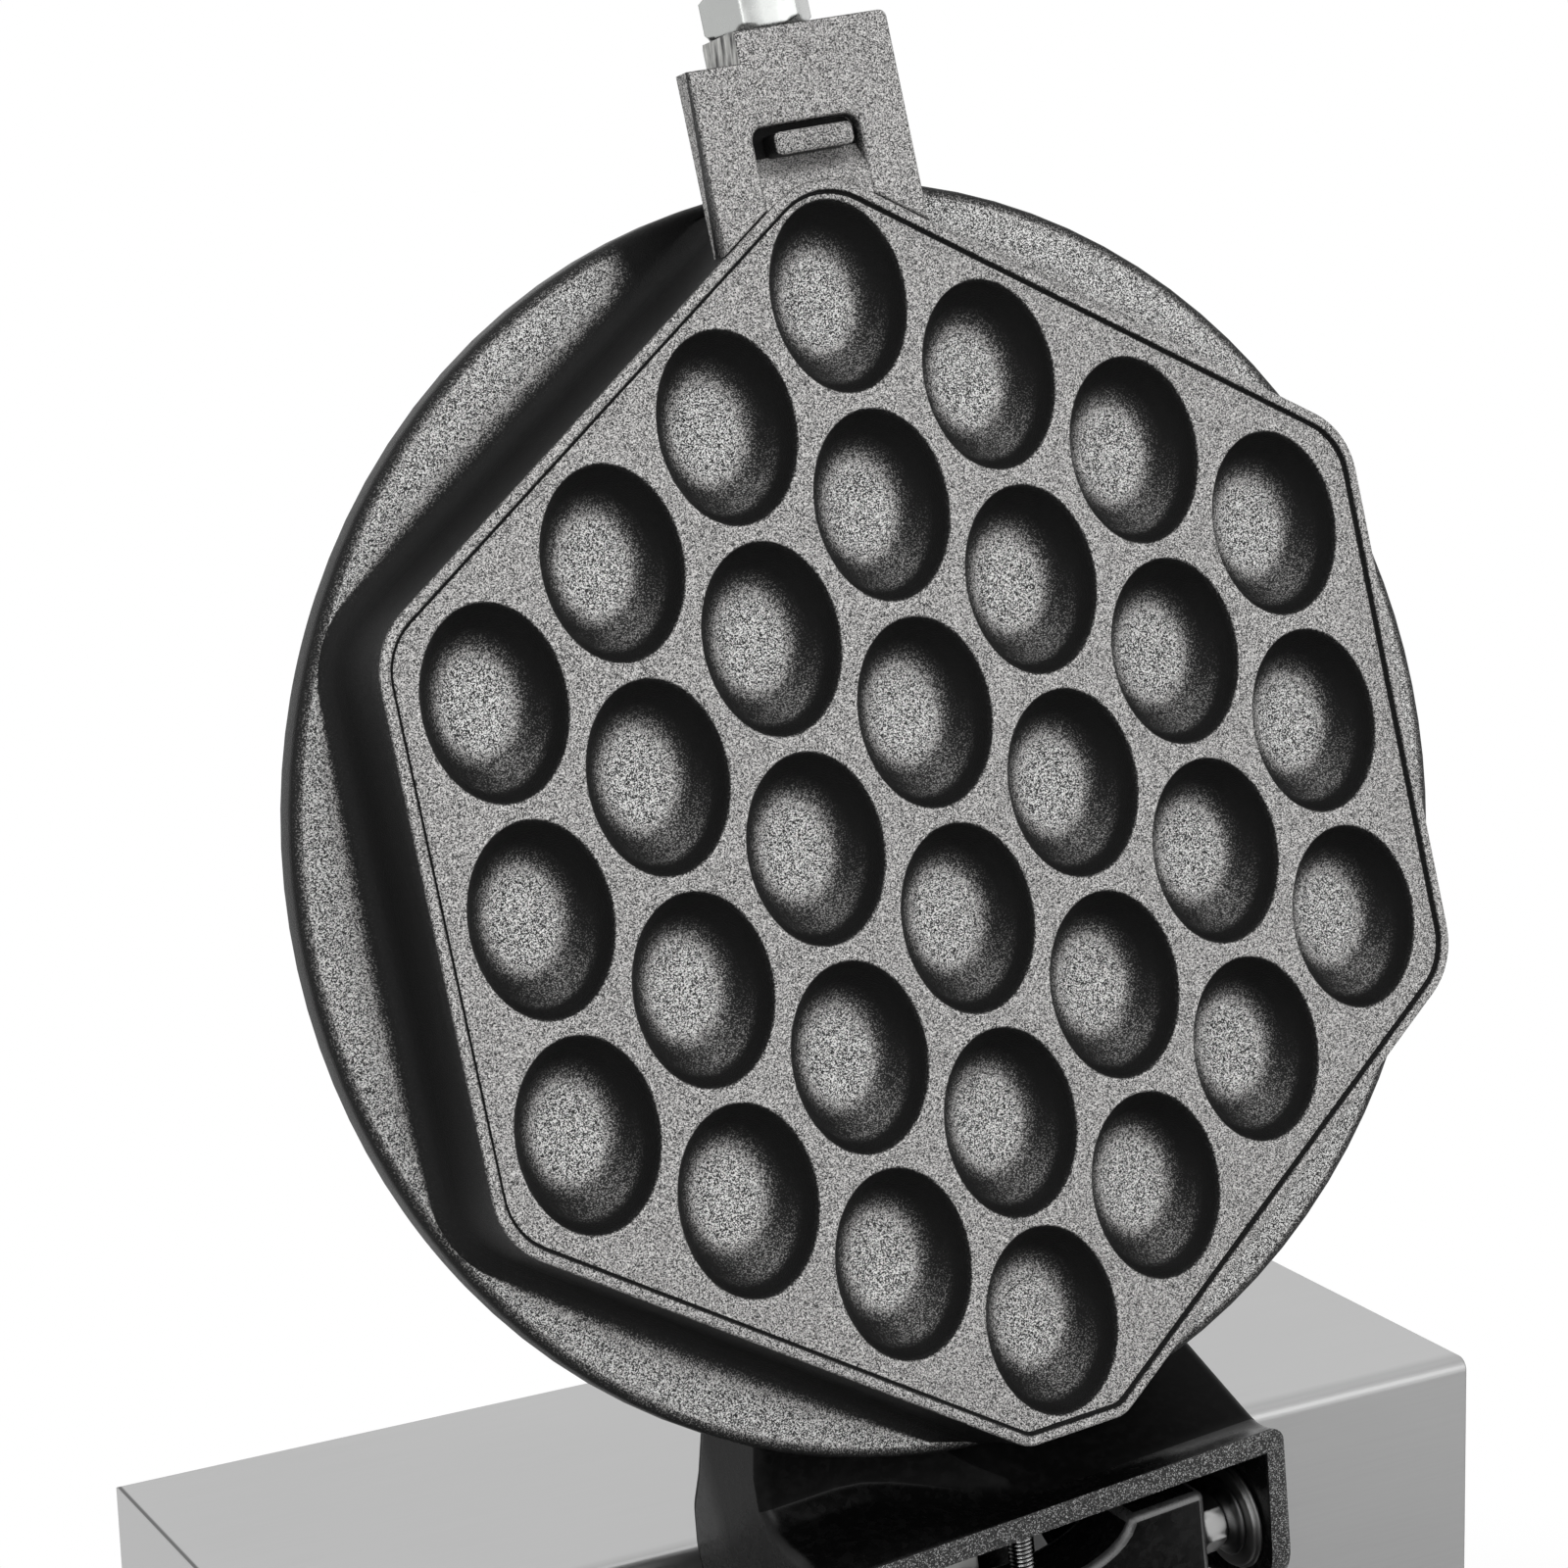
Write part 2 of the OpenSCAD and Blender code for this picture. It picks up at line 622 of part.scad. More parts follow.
// A round bar from one point to another
module bar(a, b, d) {
    v = b - a;
    translate(a) rotate([0, acos(v.z / norm(v)), atan2(v.y, v.x)]) cylinder(d = d, h = norm(v));
}
module handle_rod() {
    bend_y = neck_reach + jam_nut_t + rod_straight;
    first = [0, bend_y, rod_z];
    last = [0, bend_y + rod_step, rod_z - rod_offset];
    bar([0, neck_reach - rod_seat + seat_gap, rod_z], first, rod_d);
    bar(first, last, rod_d - crank_thinning);
    bar(last, [0, grip_y + grip_depth, rod_z - rod_offset], rod_d);
    for (p = [first, last]) translate(p) sphere(d = rod_d + elbow_swell);
}
module jam_nut() {
    translate([0, neck_reach + seat_gap, rod_z]) rotate([-90, jam_nut_turn, 0]) difference() {
        hex(jam_nut_af, jam_nut_t);
        translate([0, 0, -overrun]) cylinder(d = rod_d + 2 * run_gap, h = jam_nut_t + 2 * overrun);
    }
}
// Turned profile of the grip, as shares of its length and of its largest radius
grip_length_shares = [0, 0, 0.03, 0.09, 0.2, 0.5, 0.8, 0.93, 0.98, 1];
grip_radius_shares = [0, 0.62, 0.72, 0.74, 0.86, 1, 0.94, 0.84, 0.6, 0];
module grip() {
    translate([0, grip_y, rod_z - rod_offset]) rotate([-90, 0, 0]) difference() {
        rotate_extrude() polygon([for (i = [0:len(grip_length_shares) - 1])
            [grip_radius_shares[i] * grip_d / 2, grip_length_shares[i] * grip_l]]);
        translate([0, 0, -overrun]) cylinder(d = rod_d + 2 * run_gap, h = grip_depth + overrun + seat_gap);
    }
}

module lower_plate() { color(coated) in_lower() plate(false); }
module lower_heater() { color(steel) in_lower() heater(); }
module lower_clamp_plate() { color(zinc) in_lower() clamp_plate(); }
module lower_insulation() { color("beige") in_lower() insulation(); }
module lower_housing_screws() { color(zinc) in_lower() housing_screws(); }
module lower_handle_rod() { color(zinc) in_lower() handle_rod(); }
module lower_grip() { color(beech) in_lower() grip(); }
module lower_jam_nut() { color(zinc) in_lower() jam_nut(); }
module upper_plate() { color(coated) in_lid() plate(true); }
module upper_heater() { color(steel) in_lid() heater(); }
module upper_clamp_plate() { color(zinc) in_lid() clamp_plate(); }
module upper_insulation() { color("beige") in_lid() insulation(); }
module upper_housing_screws() { color(zinc) in_lid() housing_screws(); }
module upper_handle_rod() { color(zinc) in_lid() handle_rod(); }
module upper_grip() { color(beech) in_lid() grip(); }
module upper_jam_nut() { color(zinc) in_lid() jam_nut(); }

// Axle: a hollow shaft, fixed in the hub, that turns in a bush on the tower
bearing_d = 62;
bearing_t = 4.6;
bush_wall = 3;
bush_l = 26;
bush_d = axle_d + 2 * bush_wall;
sleeve_d = bush_d + 2 * bush_wall;
washer_gap = 0.2;
bracket_y = 30;
bracket_t = 3;
bracket_h = 120;
bracket_flange = 18;
bracket_top_room = 6;
collar_d = 38;
collar_l = 12;
axle_tail = 56;
bearing_screw_r = 24.5;
bearing_screw_d = 4;
bearing_screw_l = 8;
small_nut_af = 7;
small_nut_t = 3;
// Places a thing along the axle, measured back from the tower's front
module on_axle(y) {
    translate([0, tower_front_y + y, axle_z]) rotate([-90, 0, 0]) children();
}
module axle_tube() {
    front = -hub_gap - hub_seat + seat_gap;
    color(steel) in_rotor() translate([0, tower_front_y + front, 0]) rotate([-90, 0, 0])
        ring(axle_d, axle_bore, axle_tail - front);
}
module thrust_washer() {
    t = hub_gap - bearing_t - 2 * washer_gap;
    color("ivory") in_rotor() translate([0, tower_front_y - hub_gap + washer_gap, 0]) rotate([-90, 0, 0])
        ring(hub_d, axle_d + 2 * run_gap, t);
}
module axle_bush() {
    color("tan") on_axle(-bearing_t + seat_gap) ring(bush_d, axle_d + 2 * run_gap, bush_l);
}
module bearing_places() {
    for (i = [0:3]) rotate(45 + 90 * i) translate([bearing_screw_r, 0, 0]) children();
}
module bearing_flange() {
    color(steel) on_axle(-bearing_t) difference() {
        union() {
            cylinder(d = bearing_d, h = bearing_t - seat_gap);
            cylinder(d = sleeve_d, h = bush_l);
        }
        translate([0, 0, -overrun]) cylinder(d = bush_d + 2 * run_gap, h = bush_l + 2 * overrun);
        bearing_places() translate([0, 0, -overrun])
            cylinder(d = bearing_screw_d + 2 * run_gap, h = bearing_t + 2 * overrun);
    }
}
module bearing_screws() {
    color(zinc) on_axle(0) bearing_places() {
        translate([0, 0, -bearing_t / 2]) cylinder(d = bearing_screw_d, h = bearing_t / 2 + bearing_screw_l);
        translate([0, 0, sheet_t + seat_gap]) hex(small_nut_af, small_nut_t);
    }
}
inner_w = body_w - 2 * sheet_t - 2 * seat_gap;
module axle_bracket() {
    y = tower_front_y + bracket_y;
    heights = [axle_z - bracket_h, body_h - sheet_t - seat_gap - bracket_top_room];
    color(steel) difference() {
        union() {
            slab([-inner_w / 2, inner_w / 2], [y, y + bracket_t], heights);
            for (s = [-1, 1]) translate([s * (inner_w - bracket_t) / 2, 0, 0])
                slab([-bracket_t / 2, bracket_t / 2], [y, y + bracket_flange], heights);
        }
        on_axle(0) cylinder(d = axle_d + 2 * run_gap, h = tower_d);
    }
}
module axle_collar() {
    color(zinc) in_rotor() translate([0, tower_front_y + bracket_y + bracket_t + move_gap, 0])
        rotate([-90, 0, 0]) ring(collar_d, axle_d + 2 * run_gap, collar_l);
}

// Tower: a folded stainless shell, open at the back and below
bend_r = 2.5;
back_screw_d = 4;
back_edge = 7;
back_flange = 20;
back_top = body_h - sheet_t - seat_gap;
bottom_flange = 14;
panel_y = tower_front_y + tower_d - sheet_t;
panel_bottom = deck_h + seat_gap;
tower_screw_ys = [20, 58];
module back_places() {
    for (x = [-1, 1]) for (z = [deck_h + 2 * back_edge, (deck_h + body_h) / 2, back_top - back_edge])
        translate([x * (inner_w / 2 - 2 * back_edge), panel_y, z]) rotate([-90, 0, 0]) children();
}
module tower_screw_places() {
    for (x = [-1, 1]) for (y = tower_screw_ys)
        translate([x * (body_w / 2 - bottom_flange / 2 - sheet_t), tower_front_y + y, panel_bottom])
            children();
}
module tower_shell() {
    w = body_w / 2;
    flange_back = panel_y - seat_gap;
    color(steel) difference() {
        union() {
            difference() {
                translate([0, tower_front_y, 0]) rotate([90, 0, 90]) translate([0, 0, -w])
                    linear_extrude(body_w) polygon(rounded([[0, panel_bottom], [tower_d, panel_bottom],
                        [tower_d, body_h], [0, body_h]], [0, 0, 0, bend_r]));
                slab([-w + sheet_t, w - sheet_t], [tower_front_y + sheet_t, panel_y + overrun],
                    [deck_h - overrun, body_h - sheet_t]);
            }
            // Flanges folded in at the back and at the foot of each side
            for (s = [-1, 1]) {
                translate([s * (w - back_flange / 2), 0, 0])
                    slab([-(back_flange - sheet_t) / 2, (back_flange - sheet_t) / 2],
                        [flange_back - sheet_t, flange_back], [panel_bottom, back_top]);
                translate([s * (w - bottom_flange / 2), 0, 0])
                    slab([-(bottom_flange - sheet_t) / 2, (bottom_flange - sheet_t) / 2],
                        [tower_front_y + sheet_t, flange_back - sheet_t / 2],
                        [panel_bottom, panel_bottom + sheet_t]);
            }
        }
        on_axle(-overrun) cylinder(d = sleeve_d + 2 * seat_gap, h = sheet_t + 2 * overrun);
        on_axle(-overrun) bearing_places()
            cylinder(d = bearing_screw_d + 2 * run_gap, h = sheet_t + 2 * overrun);
        back_places() translate([0, 0, -sheet_t - overrun])
            cylinder(d = back_screw_d + 2 * run_gap, h = sheet_t + overrun);
        tower_screw_places() translate([0, 0, -overrun])
            cylinder(d = back_screw_d + 2 * run_gap, h = sheet_t + 2 * overrun);
    }
}
vent_w = 44;
vent_h = 3;
vent_pitch = 9;
vent_count = 6;
vent_drop = 60;
gland_x = 42;
gland_z = 26;
gland_d = 16;
module at_gland() {
    translate([-body_w / 2 + gland_x, panel_y, deck_h + gland_z]) rotate([-90, 0, 0]) children();
}
module tower_back_panel() {
    color(steel) difference() {
        slab([-inner_w / 2, inner_w / 2], [panel_y, panel_y + sheet_t], [panel_bottom, back_top]);
        for (x = [-1, 1]) for (k = [0:vent_count - 1])
            translate([x * body_w / 4 - vent_w / 2, panel_y - overrun, body_h - vent_drop - k * vent_pitch])
                cube([vent_w, sheet_t + 2 * overrun, vent_h]);
        at_gland() translate([0, 0, -overrun]) cylinder(d = gland_d + 2 * run_gap, h = sheet_t + 2 * overrun);
        back_places() translate([0, 0, -overrun])
            cylinder(d = back_screw_d + 2 * run_gap, h = sheet_t + 2 * overrun);
    }
}
pan_head_d = 7.5;
pan_head_h = 2.2;
pan_head_taper = 2;
pan_screw_l = 8;
module pan_screw(d) {
    cylinder(d1 = pan_head_d, d2 = pan_head_d - pan_head_taper, h = pan_head_h);
    translate([0, 0, -pan_screw_l]) cylinder(d = d, h = pan_screw_l);
}
module back_panel_screws() {
    color(zinc) back_places() translate([0, 0, sheet_t + seat_gap]) pan_screw(back_screw_d);
}
module tower_screws() {
    color(zinc) tower_screw_places() translate([0, 0, sheet_t + seat_gap]) pan_screw(back_screw_d);
}

// Cable gland and terminal block; the lead itself isn't shown
gland_nut = 24;
gland_cap_d = 20;
gland_tail = 16;
gland_bore = 8;
module cable_gland() {
    out = sheet_t + seat_gap;
    color(plastic) at_gland() difference() {
        union() {
            translate([0, 0, -gland_tail]) cylinder(d = gland_d, h = gland_tail + out);
            translate([0, 0, out]) hex(gland_nut, gland_nut_t);
            translate([0, 0, out + gland_nut_t]) cylinder(d1 = gland_cap_d, d2 = gland_d, h = gland_cap_l);
            translate([0, 0, -seat_gap - gland_nut_t]) hex(gland_nut, gland_nut_t);
        }
        translate([0, 0, -gland_tail - overrun])
            cylinder(d = gland_bore, h = gland_tail + out + gland_nut_t + gland_cap_l + 2 * overrun);
    }
}
block_w = 56;
block_d = 20;
block_h = 22;
block_back = 40;
block_ways = 5;
block_hole = 5;
module terminal_block() {
    y = panel_y - block_back;
    color("ivory") difference() {
        translate([-block_w / 2, y, deck_h + seat_gap]) cube([block_w, block_d, block_h]);
        for (k = [0:block_ways - 1])
            translate([(k - (block_ways - 1) / 2) * block_w / block_ways, y + block_d / 2,
                deck_h + block_h / 2]) cylinder(d = block_hole, h = block_h);
    }
}

// Base: a folded shell under the plates, with the controls on its front
base_z = foot_h;
front_y = base_y - base_l / 2;
back_y = base_y + base_l / 2;
control_z = (foot_h + deck_h) / 2;
knob_x = body_w / 2 - knob_side;
shaft_d = 6;
shaft_hole_d = shaft_d + 2 * run_gap;
switch_w = 22;
switch_h = 30;
lamp_d = 10;
lamp_x = 34;
wire_hole_w = 120;
wire_hole_front = 18;
wire_hole_back = 46;
base_edge_x = 24;
base_edge_y = 16;
base_tab_l = 26;
foot_screw_d = 5;
foot_screw_l = 3;
foot_taper = 4;
// A place on the front panel, with z into the body
module on_front(x) {
    translate([x, front_y, control_z]) rotate([-90, 0, 0]) children();
}
module base_screw_places() {
    for (x = [-1, 1]) for (y = [-1, 1])
        translate([x * (body_w / 2 - base_edge_x), base_y + y * (base_l / 2 - base_edge_y), base_z])
            children();
}
module foot_places() {
    for (x = [-1, 1]) for (y = [-1, 1])
        translate([x * (body_w / 2 - foot_d), base_y + y * (base_l / 2 - 2 * foot_d), 0]) children();
}
module base_shell() {
    w = body_w / 2;
    cut_l = sheet_t + 2 * overrun;
    tab_z = base_z + sheet_t + seat_gap;
    color(steel) difference() {
        union() {
            difference() {
                rotate([90, 0, 90]) translate([0, 0, -w]) linear_extrude(body_w)
                    polygon(rounded([[front_y, base_z], [back_y, base_z], [back_y, deck_h],
                        [front_y, deck_h]], [0, 0, 0, bend_r]));
                slab([-w + sheet_t, w - sheet_t], [front_y + sheet_t, back_y - sheet_t],
                    [base_z - overrun, deck_h - sheet_t]);
            }
            // Folded tabs that the bottom plate's screws go into
            for (y = [[front_y + sheet_t / 2, front_y + base_tab_l],
                [back_y - base_tab_l, back_y - sheet_t / 2]])
                slab([-w + sheet_t / 2, w - sheet_t / 2], y, [tab_z, tab_z + sheet_t]);
        }
        slab([-wire_hole_w / 2, wire_hole_w / 2], [tower_front_y + wire_hole_front, panel_y - wire_hole_back],
            [deck_h - sheet_t - overrun, deck_h + overrun]);
        for (s = [-1, 1]) on_front(s * knob_x) translate([0, 0, -overrun])
            cylinder(d = shaft_hole_d, h = cut_l);
        for (s = [-1, 1]) on_front(s * lamp_x) translate([0, 0, -overrun])
            cylinder(d = lamp_d + 2 * run_gap, h = cut_l);
        on_front(0) translate([-switch_w / 2 - seat_gap, -switch_h / 2 - seat_gap, -overrun])
            cube([switch_w + 2 * seat_gap, switch_h + 2 * seat_gap, cut_l]);
        base_screw_places() cylinder(d = back_screw_d + 2 * run_gap, h = cut_l);
        tower_screw_places() translate([0, 0, -sheet_t - overrun])
            cylinder(d = back_screw_d + 2 * run_gap, h = sheet_t + 2 * overrun);
    }
}
module base_bottom_plate() {
    x = body_w / 2 - sheet_t - seat_gap;
    y = [front_y + sheet_t + seat_gap, back_y - sheet_t - seat_gap];
    cut_l = sheet_t + 2 * overrun;
    color(steel) difference() {
        slab([-x, x], y, [base_z, base_z + sheet_t]);
        foot_places() translate([0, 0, base_z - overrun]) cylinder(d = foot_screw_d + 2 * run_gap, h = cut_l);
        base_screw_places() translate([0, 0, -overrun]) cylinder(d = back_screw_d + 2 * run_gap, h = cut_l);
    }
}
module base_screws() {
    color(zinc) base_screw_places() rotate([180, 0, 0]) translate([0, 0, seat_gap]) pan_screw(back_screw_d);
}
module rubber_feet() {
    color(rubber) foot_places() {
        cylinder(d1 = foot_d - foot_taper, d2 = foot_d, h = foot_h - seat_gap);
        cylinder(d = foot_screw_d, h = foot_h + sheet_t + foot_screw_l);
    }
}

// Controls
panel_back = sheet_t + seat_gap;
thermostat_d = 32;
thermostat_l = 18;
thermostat_neck_d = 22;
thermostat_neck_l = 10;
timer_w = 34;
timer_l = 16;
timer_drum_d = 28;
timer_drum_l = 14;
module thermostat_body() {
    color(zinc) on_front(-knob_x) translate([0, 0, panel_back]) {
        cylinder(d = thermostat_d, h = thermostat_l);
        translate([0, 0, thermostat_l]) cylinder(d = thermostat_neck_d, h = thermostat_neck_l);
    }
}
module timer_body() {
    color(plastic) on_front(knob_x) translate([0, 0, panel_back]) {
        translate([-timer_w / 2, -timer_w / 2, 0]) cube([timer_w, timer_w, timer_l]);
        translate([0, 0, timer_l]) cylinder(d = timer_drum_d, h = timer_drum_l);
    }
}
skirt_h_share = 0.3;
grip_base_share = 0.84;
grip_top_share = 0.76;
pointer_w = 3;
pointer_l = 9;
pointer_h = 0.8;
module knob(x) {
    skirt_h = knob_h * skirt_h_share;
    grip_h = knob_h - skirt_h - pointer_h;
    color(plastic) on_front(x) rotate([180, 0, 0]) {
        translate([0, 0, move_gap]) cylinder(d = knob_d, h = skirt_h);
        translate([0, 0, move_gap + skirt_h])
            cylinder(d1 = knob_d * grip_base_share, d2 = knob_d * grip_top_share, h = grip_h);
        translate([-pointer_w / 2, 0, move_gap + skirt_h + grip_h - overrun])
            cube([pointer_w, pointer_l, pointer_h + overrun]);
        translate([0, 0, -panel_back + move_gap]) cylinder(d = shaft_d, h = panel_back);
    }
}
module thermostat_knob() { knob(-knob_x); }
module timer_knob() { knob(knob_x); }
rocker_tilt = 9;
rocker_w = 15;
rocker_h = 20;
rocker_crown = 4.2;
rocker_edge = 2.8;
rocker_root = 2.4;
rocker_slope = 0.8;
bezel_t = 2;
bezel_rim = 2;
switch_depth = 17;
rocker_room = 6;
module switch_body() {
    color(plastic) on_front(0) difference() {
        union() {
            translate([-switch_w / 2, -switch_h / 2, -seat_gap])
                cube([switch_w, switch_h, switch_depth + seat_gap]);
            translate([-switch_w / 2 - bezel_rim, -switch_h / 2 - bezel_rim, -seat_gap - bezel_t])
                cube([switch_w + 2 * bezel_rim, switch_h + 2 * bezel_rim, bezel_t]);
        }
        translate([-rocker_w / 2 - move_gap, -rocker_h / 2 - 2 * move_gap, -seat_gap - bezel_t - overrun])
            cube([rocker_w + 2 * move_gap, rocker_h + 4 * move_gap, bezel_t + overrun + rocker_room]);
    }
}
module rocker() {
    half = rocker_h / 2;
    color([0.5, 0.05, 0.04]) translate([0, front_y - bezel_t / 2, control_z]) rotate([-rocker_tilt, 0, 0])
        rotate([90, 0, 90]) translate([0, 0, -rocker_w / 2]) linear_extrude(rocker_w)
            polygon([[-rocker_edge + rocker_root, -half + rocker_slope], [-rocker_edge, -half],
                [-rocker_root + rocker_slope, 0], [-rocker_edge, half],
                [-rocker_edge + rocker_root, half - rocker_slope], [rocker_crown, 0]]);
}
lamp_l = 14;
lamp_ring = 4;
lamp_ring_h = 2;
lamp_dome_h = 3;
lamp_taper = 4;
module indicator_lamps() {
    color([0.8, 0.35, 0.1]) for (s = [-1, 1]) on_front(s * lamp_x) {
        translate([0, 0, -seat_gap - lamp_ring_h]) cylinder(d = lamp_d, h = lamp_l);
        translate([0, 0, -seat_gap - lamp_ring_h]) cylinder(d = lamp_d + lamp_ring, h = lamp_ring_h);
        translate([0, 0, -seat_gap - lamp_ring_h - lamp_dome_h])
            cylinder(d1 = lamp_d - lamp_taper, d2 = lamp_d, h = lamp_dome_h);
    }
}

// Drip tray: lies on the deck and slides out forwards
tray_side_room = 12.5;
tray_l = 244;
tray_h = 14;
tray_t = 1;
tray_back_gap = 20;
tray_lip = 7;
module drip_tray() {
    y1 = tower_front_y - tray_back_gap;
    z0 = deck_h + move_gap;
    x = body_w / 2 - tray_side_room;
    color(steel) {
        difference() {
            slab([-x, x], [y1 - tray_l, y1], [z0, z0 + tray_h]);
            slab([-x + tray_t, x - tray_t], [y1 - tray_l + tray_t, y1 - tray_t],
                [z0 + tray_t, z0 + tray_h + overrun]);
        }
        // Rolled pull lip along the front edge
        slab([-x, x], [y1 - tray_l - tray_lip, y1 - tray_l], [z0 + tray_h - tray_t, z0 + tray_h]);
        slab([-x, x], [y1 - tray_l - tray_lip, y1 - tray_l - tray_lip + tray_t],
            [z0 + tray_h - tray_lip, z0 + tray_h]);
    }
}

tower_shell();
tower_back_panel();
back_panel_screws();
axle_bracket();
bearing_flange();
bearing_screws();
axle_bush();
tower_screws();
base_shell();
base_bottom_plate();
base_screws();
rubber_feet();
thermostat_body();
timer_body();
switch_body();
indicator_lamps();
terminal_block();
cable_gland();
axle_tube();
axle_collar();
thrust_washer();
lower_housing();
lower_plate();
lower_heater();
lower_clamp_plate();
lower_insulation();
lower_housing_screws();
lower_handle_rod();
lower_grip();
lower_jam_nut();
stop_screw();
stop_locknut();
stop_plate();
pivot_bolts();
pivot_nuts();
cup_washers();
flat_washers();
upper_plate();
upper_housing();
upper_heater();
upper_clamp_plate();
upper_insulation();
upper_housing_screws();
upper_handle_rod();
upper_grip();
upper_jam_nut();
thermostat_knob();
timer_knob();
rocker();
drip_tray();
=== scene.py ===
import math
import bmesh
import bpy
from mathutils import Matrix, Vector


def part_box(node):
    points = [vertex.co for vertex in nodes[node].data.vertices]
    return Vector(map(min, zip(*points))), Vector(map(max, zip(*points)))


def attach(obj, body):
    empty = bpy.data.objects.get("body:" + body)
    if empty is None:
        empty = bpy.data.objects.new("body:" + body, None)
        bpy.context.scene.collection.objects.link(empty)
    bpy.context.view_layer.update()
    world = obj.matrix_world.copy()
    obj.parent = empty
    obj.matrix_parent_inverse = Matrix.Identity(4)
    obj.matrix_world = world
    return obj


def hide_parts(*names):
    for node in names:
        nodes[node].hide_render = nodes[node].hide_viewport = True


# Egg waffle maker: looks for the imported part. Lengths are in millimetres until a piece is finished.
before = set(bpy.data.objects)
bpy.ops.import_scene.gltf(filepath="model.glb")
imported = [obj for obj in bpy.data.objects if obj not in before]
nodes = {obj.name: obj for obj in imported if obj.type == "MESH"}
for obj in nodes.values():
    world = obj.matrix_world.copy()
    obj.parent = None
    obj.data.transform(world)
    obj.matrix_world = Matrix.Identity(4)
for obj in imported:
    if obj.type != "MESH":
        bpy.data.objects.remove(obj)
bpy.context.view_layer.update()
mm = 0.001

place = {"towerFrontY": 199.9, "axleZ": 219.6, "restRoll": 5.2, "pinY": 153.0, "pinRise": 30.7,
         "hingeReach": 144, "pinBack": 30.5, "openAngle": 102.4, "mateGap": 0.4}


def shift(x, y, z):
    return Matrix.Translation((x, y, z))


def turn(degrees, axis):
    return Matrix.Rotation(math.radians(degrees), 4, axis)


inRotor = shift(0, 0, place["axleZ"]) @ turn(-place["restRoll"], "Y")
inLower = inRotor @ shift(0, place["pinY"] - place["hingeReach"], -place["mateGap"] / 2) @ turn(180, "Z")
inLid = (inRotor @ shift(0, place["pinY"], place["pinRise"]) @ turn(180 - place["openAngle"], "X")
         @ shift(0, place["hingeReach"], place["pinBack"]))


def grey(value):
    return value, value, value, 1


def addObject(name, data):
    made = bpy.data.objects.new(name, data)
    bpy.context.scene.collection.objects.link(made)
    return made


def feed(tree, socket, value):  # a plain value, or a link from another node
    if hasattr(value, "is_output"):
        tree.links.new(value, socket)
    elif value is not None:
        socket.default_value = value


# each setting is a socket's value or link, or else one of the node's own options
def setUp(tree, node, **settings):
    for label, value in settings.items():
        if label.replace("_", " ") in node.inputs:
            feed(tree, node.inputs[label.replace("_", " ")], value)
        else:
            setattr(node, label, value)
    return node


def addNode(tree, kind, **settings):
    return setUp(tree, tree.nodes.new("ShaderNode" + kind), **settings)


def addMath(tree, operation, a, b, clamp=False):
    n = addNode(tree, "Math", operation=operation, use_clamp=clamp)
    feed(tree, n.inputs[0], a)
    feed(tree, n.inputs[1], b)
    return n.outputs[0]


def addVectorMath(tree, operation, a, b=None):
    n = addNode(tree, "VectorMath", operation=operation)
    feed(tree, n.inputs[0], a)
    feed(tree, n.inputs["Scale" if operation == "SCALE" else 1], b)
    return n.outputs["Value" if operation in ("LENGTH", "DOT_PRODUCT") else "Vector"]


def addRange(tree, value, low, high, toLow=0.0, toHigh=1.0):
    return addNode(tree, "MapRange", Value=value, From_Min=low, From_Max=high, To_Min=toLow,
                   To_Max=toHigh).outputs["Result"]


def addMix(tree, share, a, b):
    n = addNode(tree, "Mix", data_type="RGBA")
    for socket, value in ((n.inputs[0], share), (n.inputs[6], a), (n.inputs[7], b)):
        feed(tree, socket, value)
    return n.outputs[2]


def addBump(tree, height, distance, strength, normal=None):
    return addNode(tree, "Bump", Strength=strength, Distance=distance, Height=height,
                   Normal=normal).outputs["Normal"]


def startMaterial(name, **sockets):
    mat = bpy.data.materials.new(name)
    mat.use_nodes = True
    tree = mat.node_tree
    bsdf = setUp(tree, tree.nodes["Principled BSDF"], **sockets)
    return mat, tree, bsdf, addNode(tree, "TexCoord").outputs["Object"]


def newGroup(name, inputs, outputs):  # the new tree, what comes in and the node that puts out
    g = bpy.data.node_groups.new(name, "ShaderNodeTree")
    for label, kind, value in inputs:
        feed(g, g.interface.new_socket(label, in_out="INPUT", socket_type="NodeSocket" + kind), value)
    for label, kind in outputs:
        g.interface.new_socket(label, in_out="OUTPUT", socket_type="NodeSocket" + kind)
    return g, g.nodes.new("NodeGroupInput").outputs, g.nodes.new("NodeGroupOutput")


def addGroup(tree, group, **values):
    n = tree.nodes.new("ShaderNodeGroup")
    n.node_tree = group
    return setUp(tree, n, **values)


# the camera stands where the photograph was taken from
view = {"right": (0.88173, -0.47094, -0.02766), "ahead": (0.45417, 0.86327, -0.22020),
        "at": (-0.3505, -0.4221, 0.559), "lens": 90.62, "shift": (-0.0032, -0.0201)}


def setUpCamera():
    ahead = Vector(view["ahead"]).normalized()
    right = Vector(view["right"])
    right = (right - ahead * right.dot(ahead)).normalized()
    camera = addObject("camera", bpy.data.cameras.new("camera"))
    camera.matrix_world = shift(*view["at"]) @ Matrix((right, right.cross(ahead), -ahead)).transposed().to_4x4()
    camera.data.sensor_width = 36
    camera.data.lens = view["lens"]
    camera.data.shift_x, camera.data.shift_y = view["shift"]
    camera.data.clip_start = 0.05
    bpy.context.scene.camera = camera


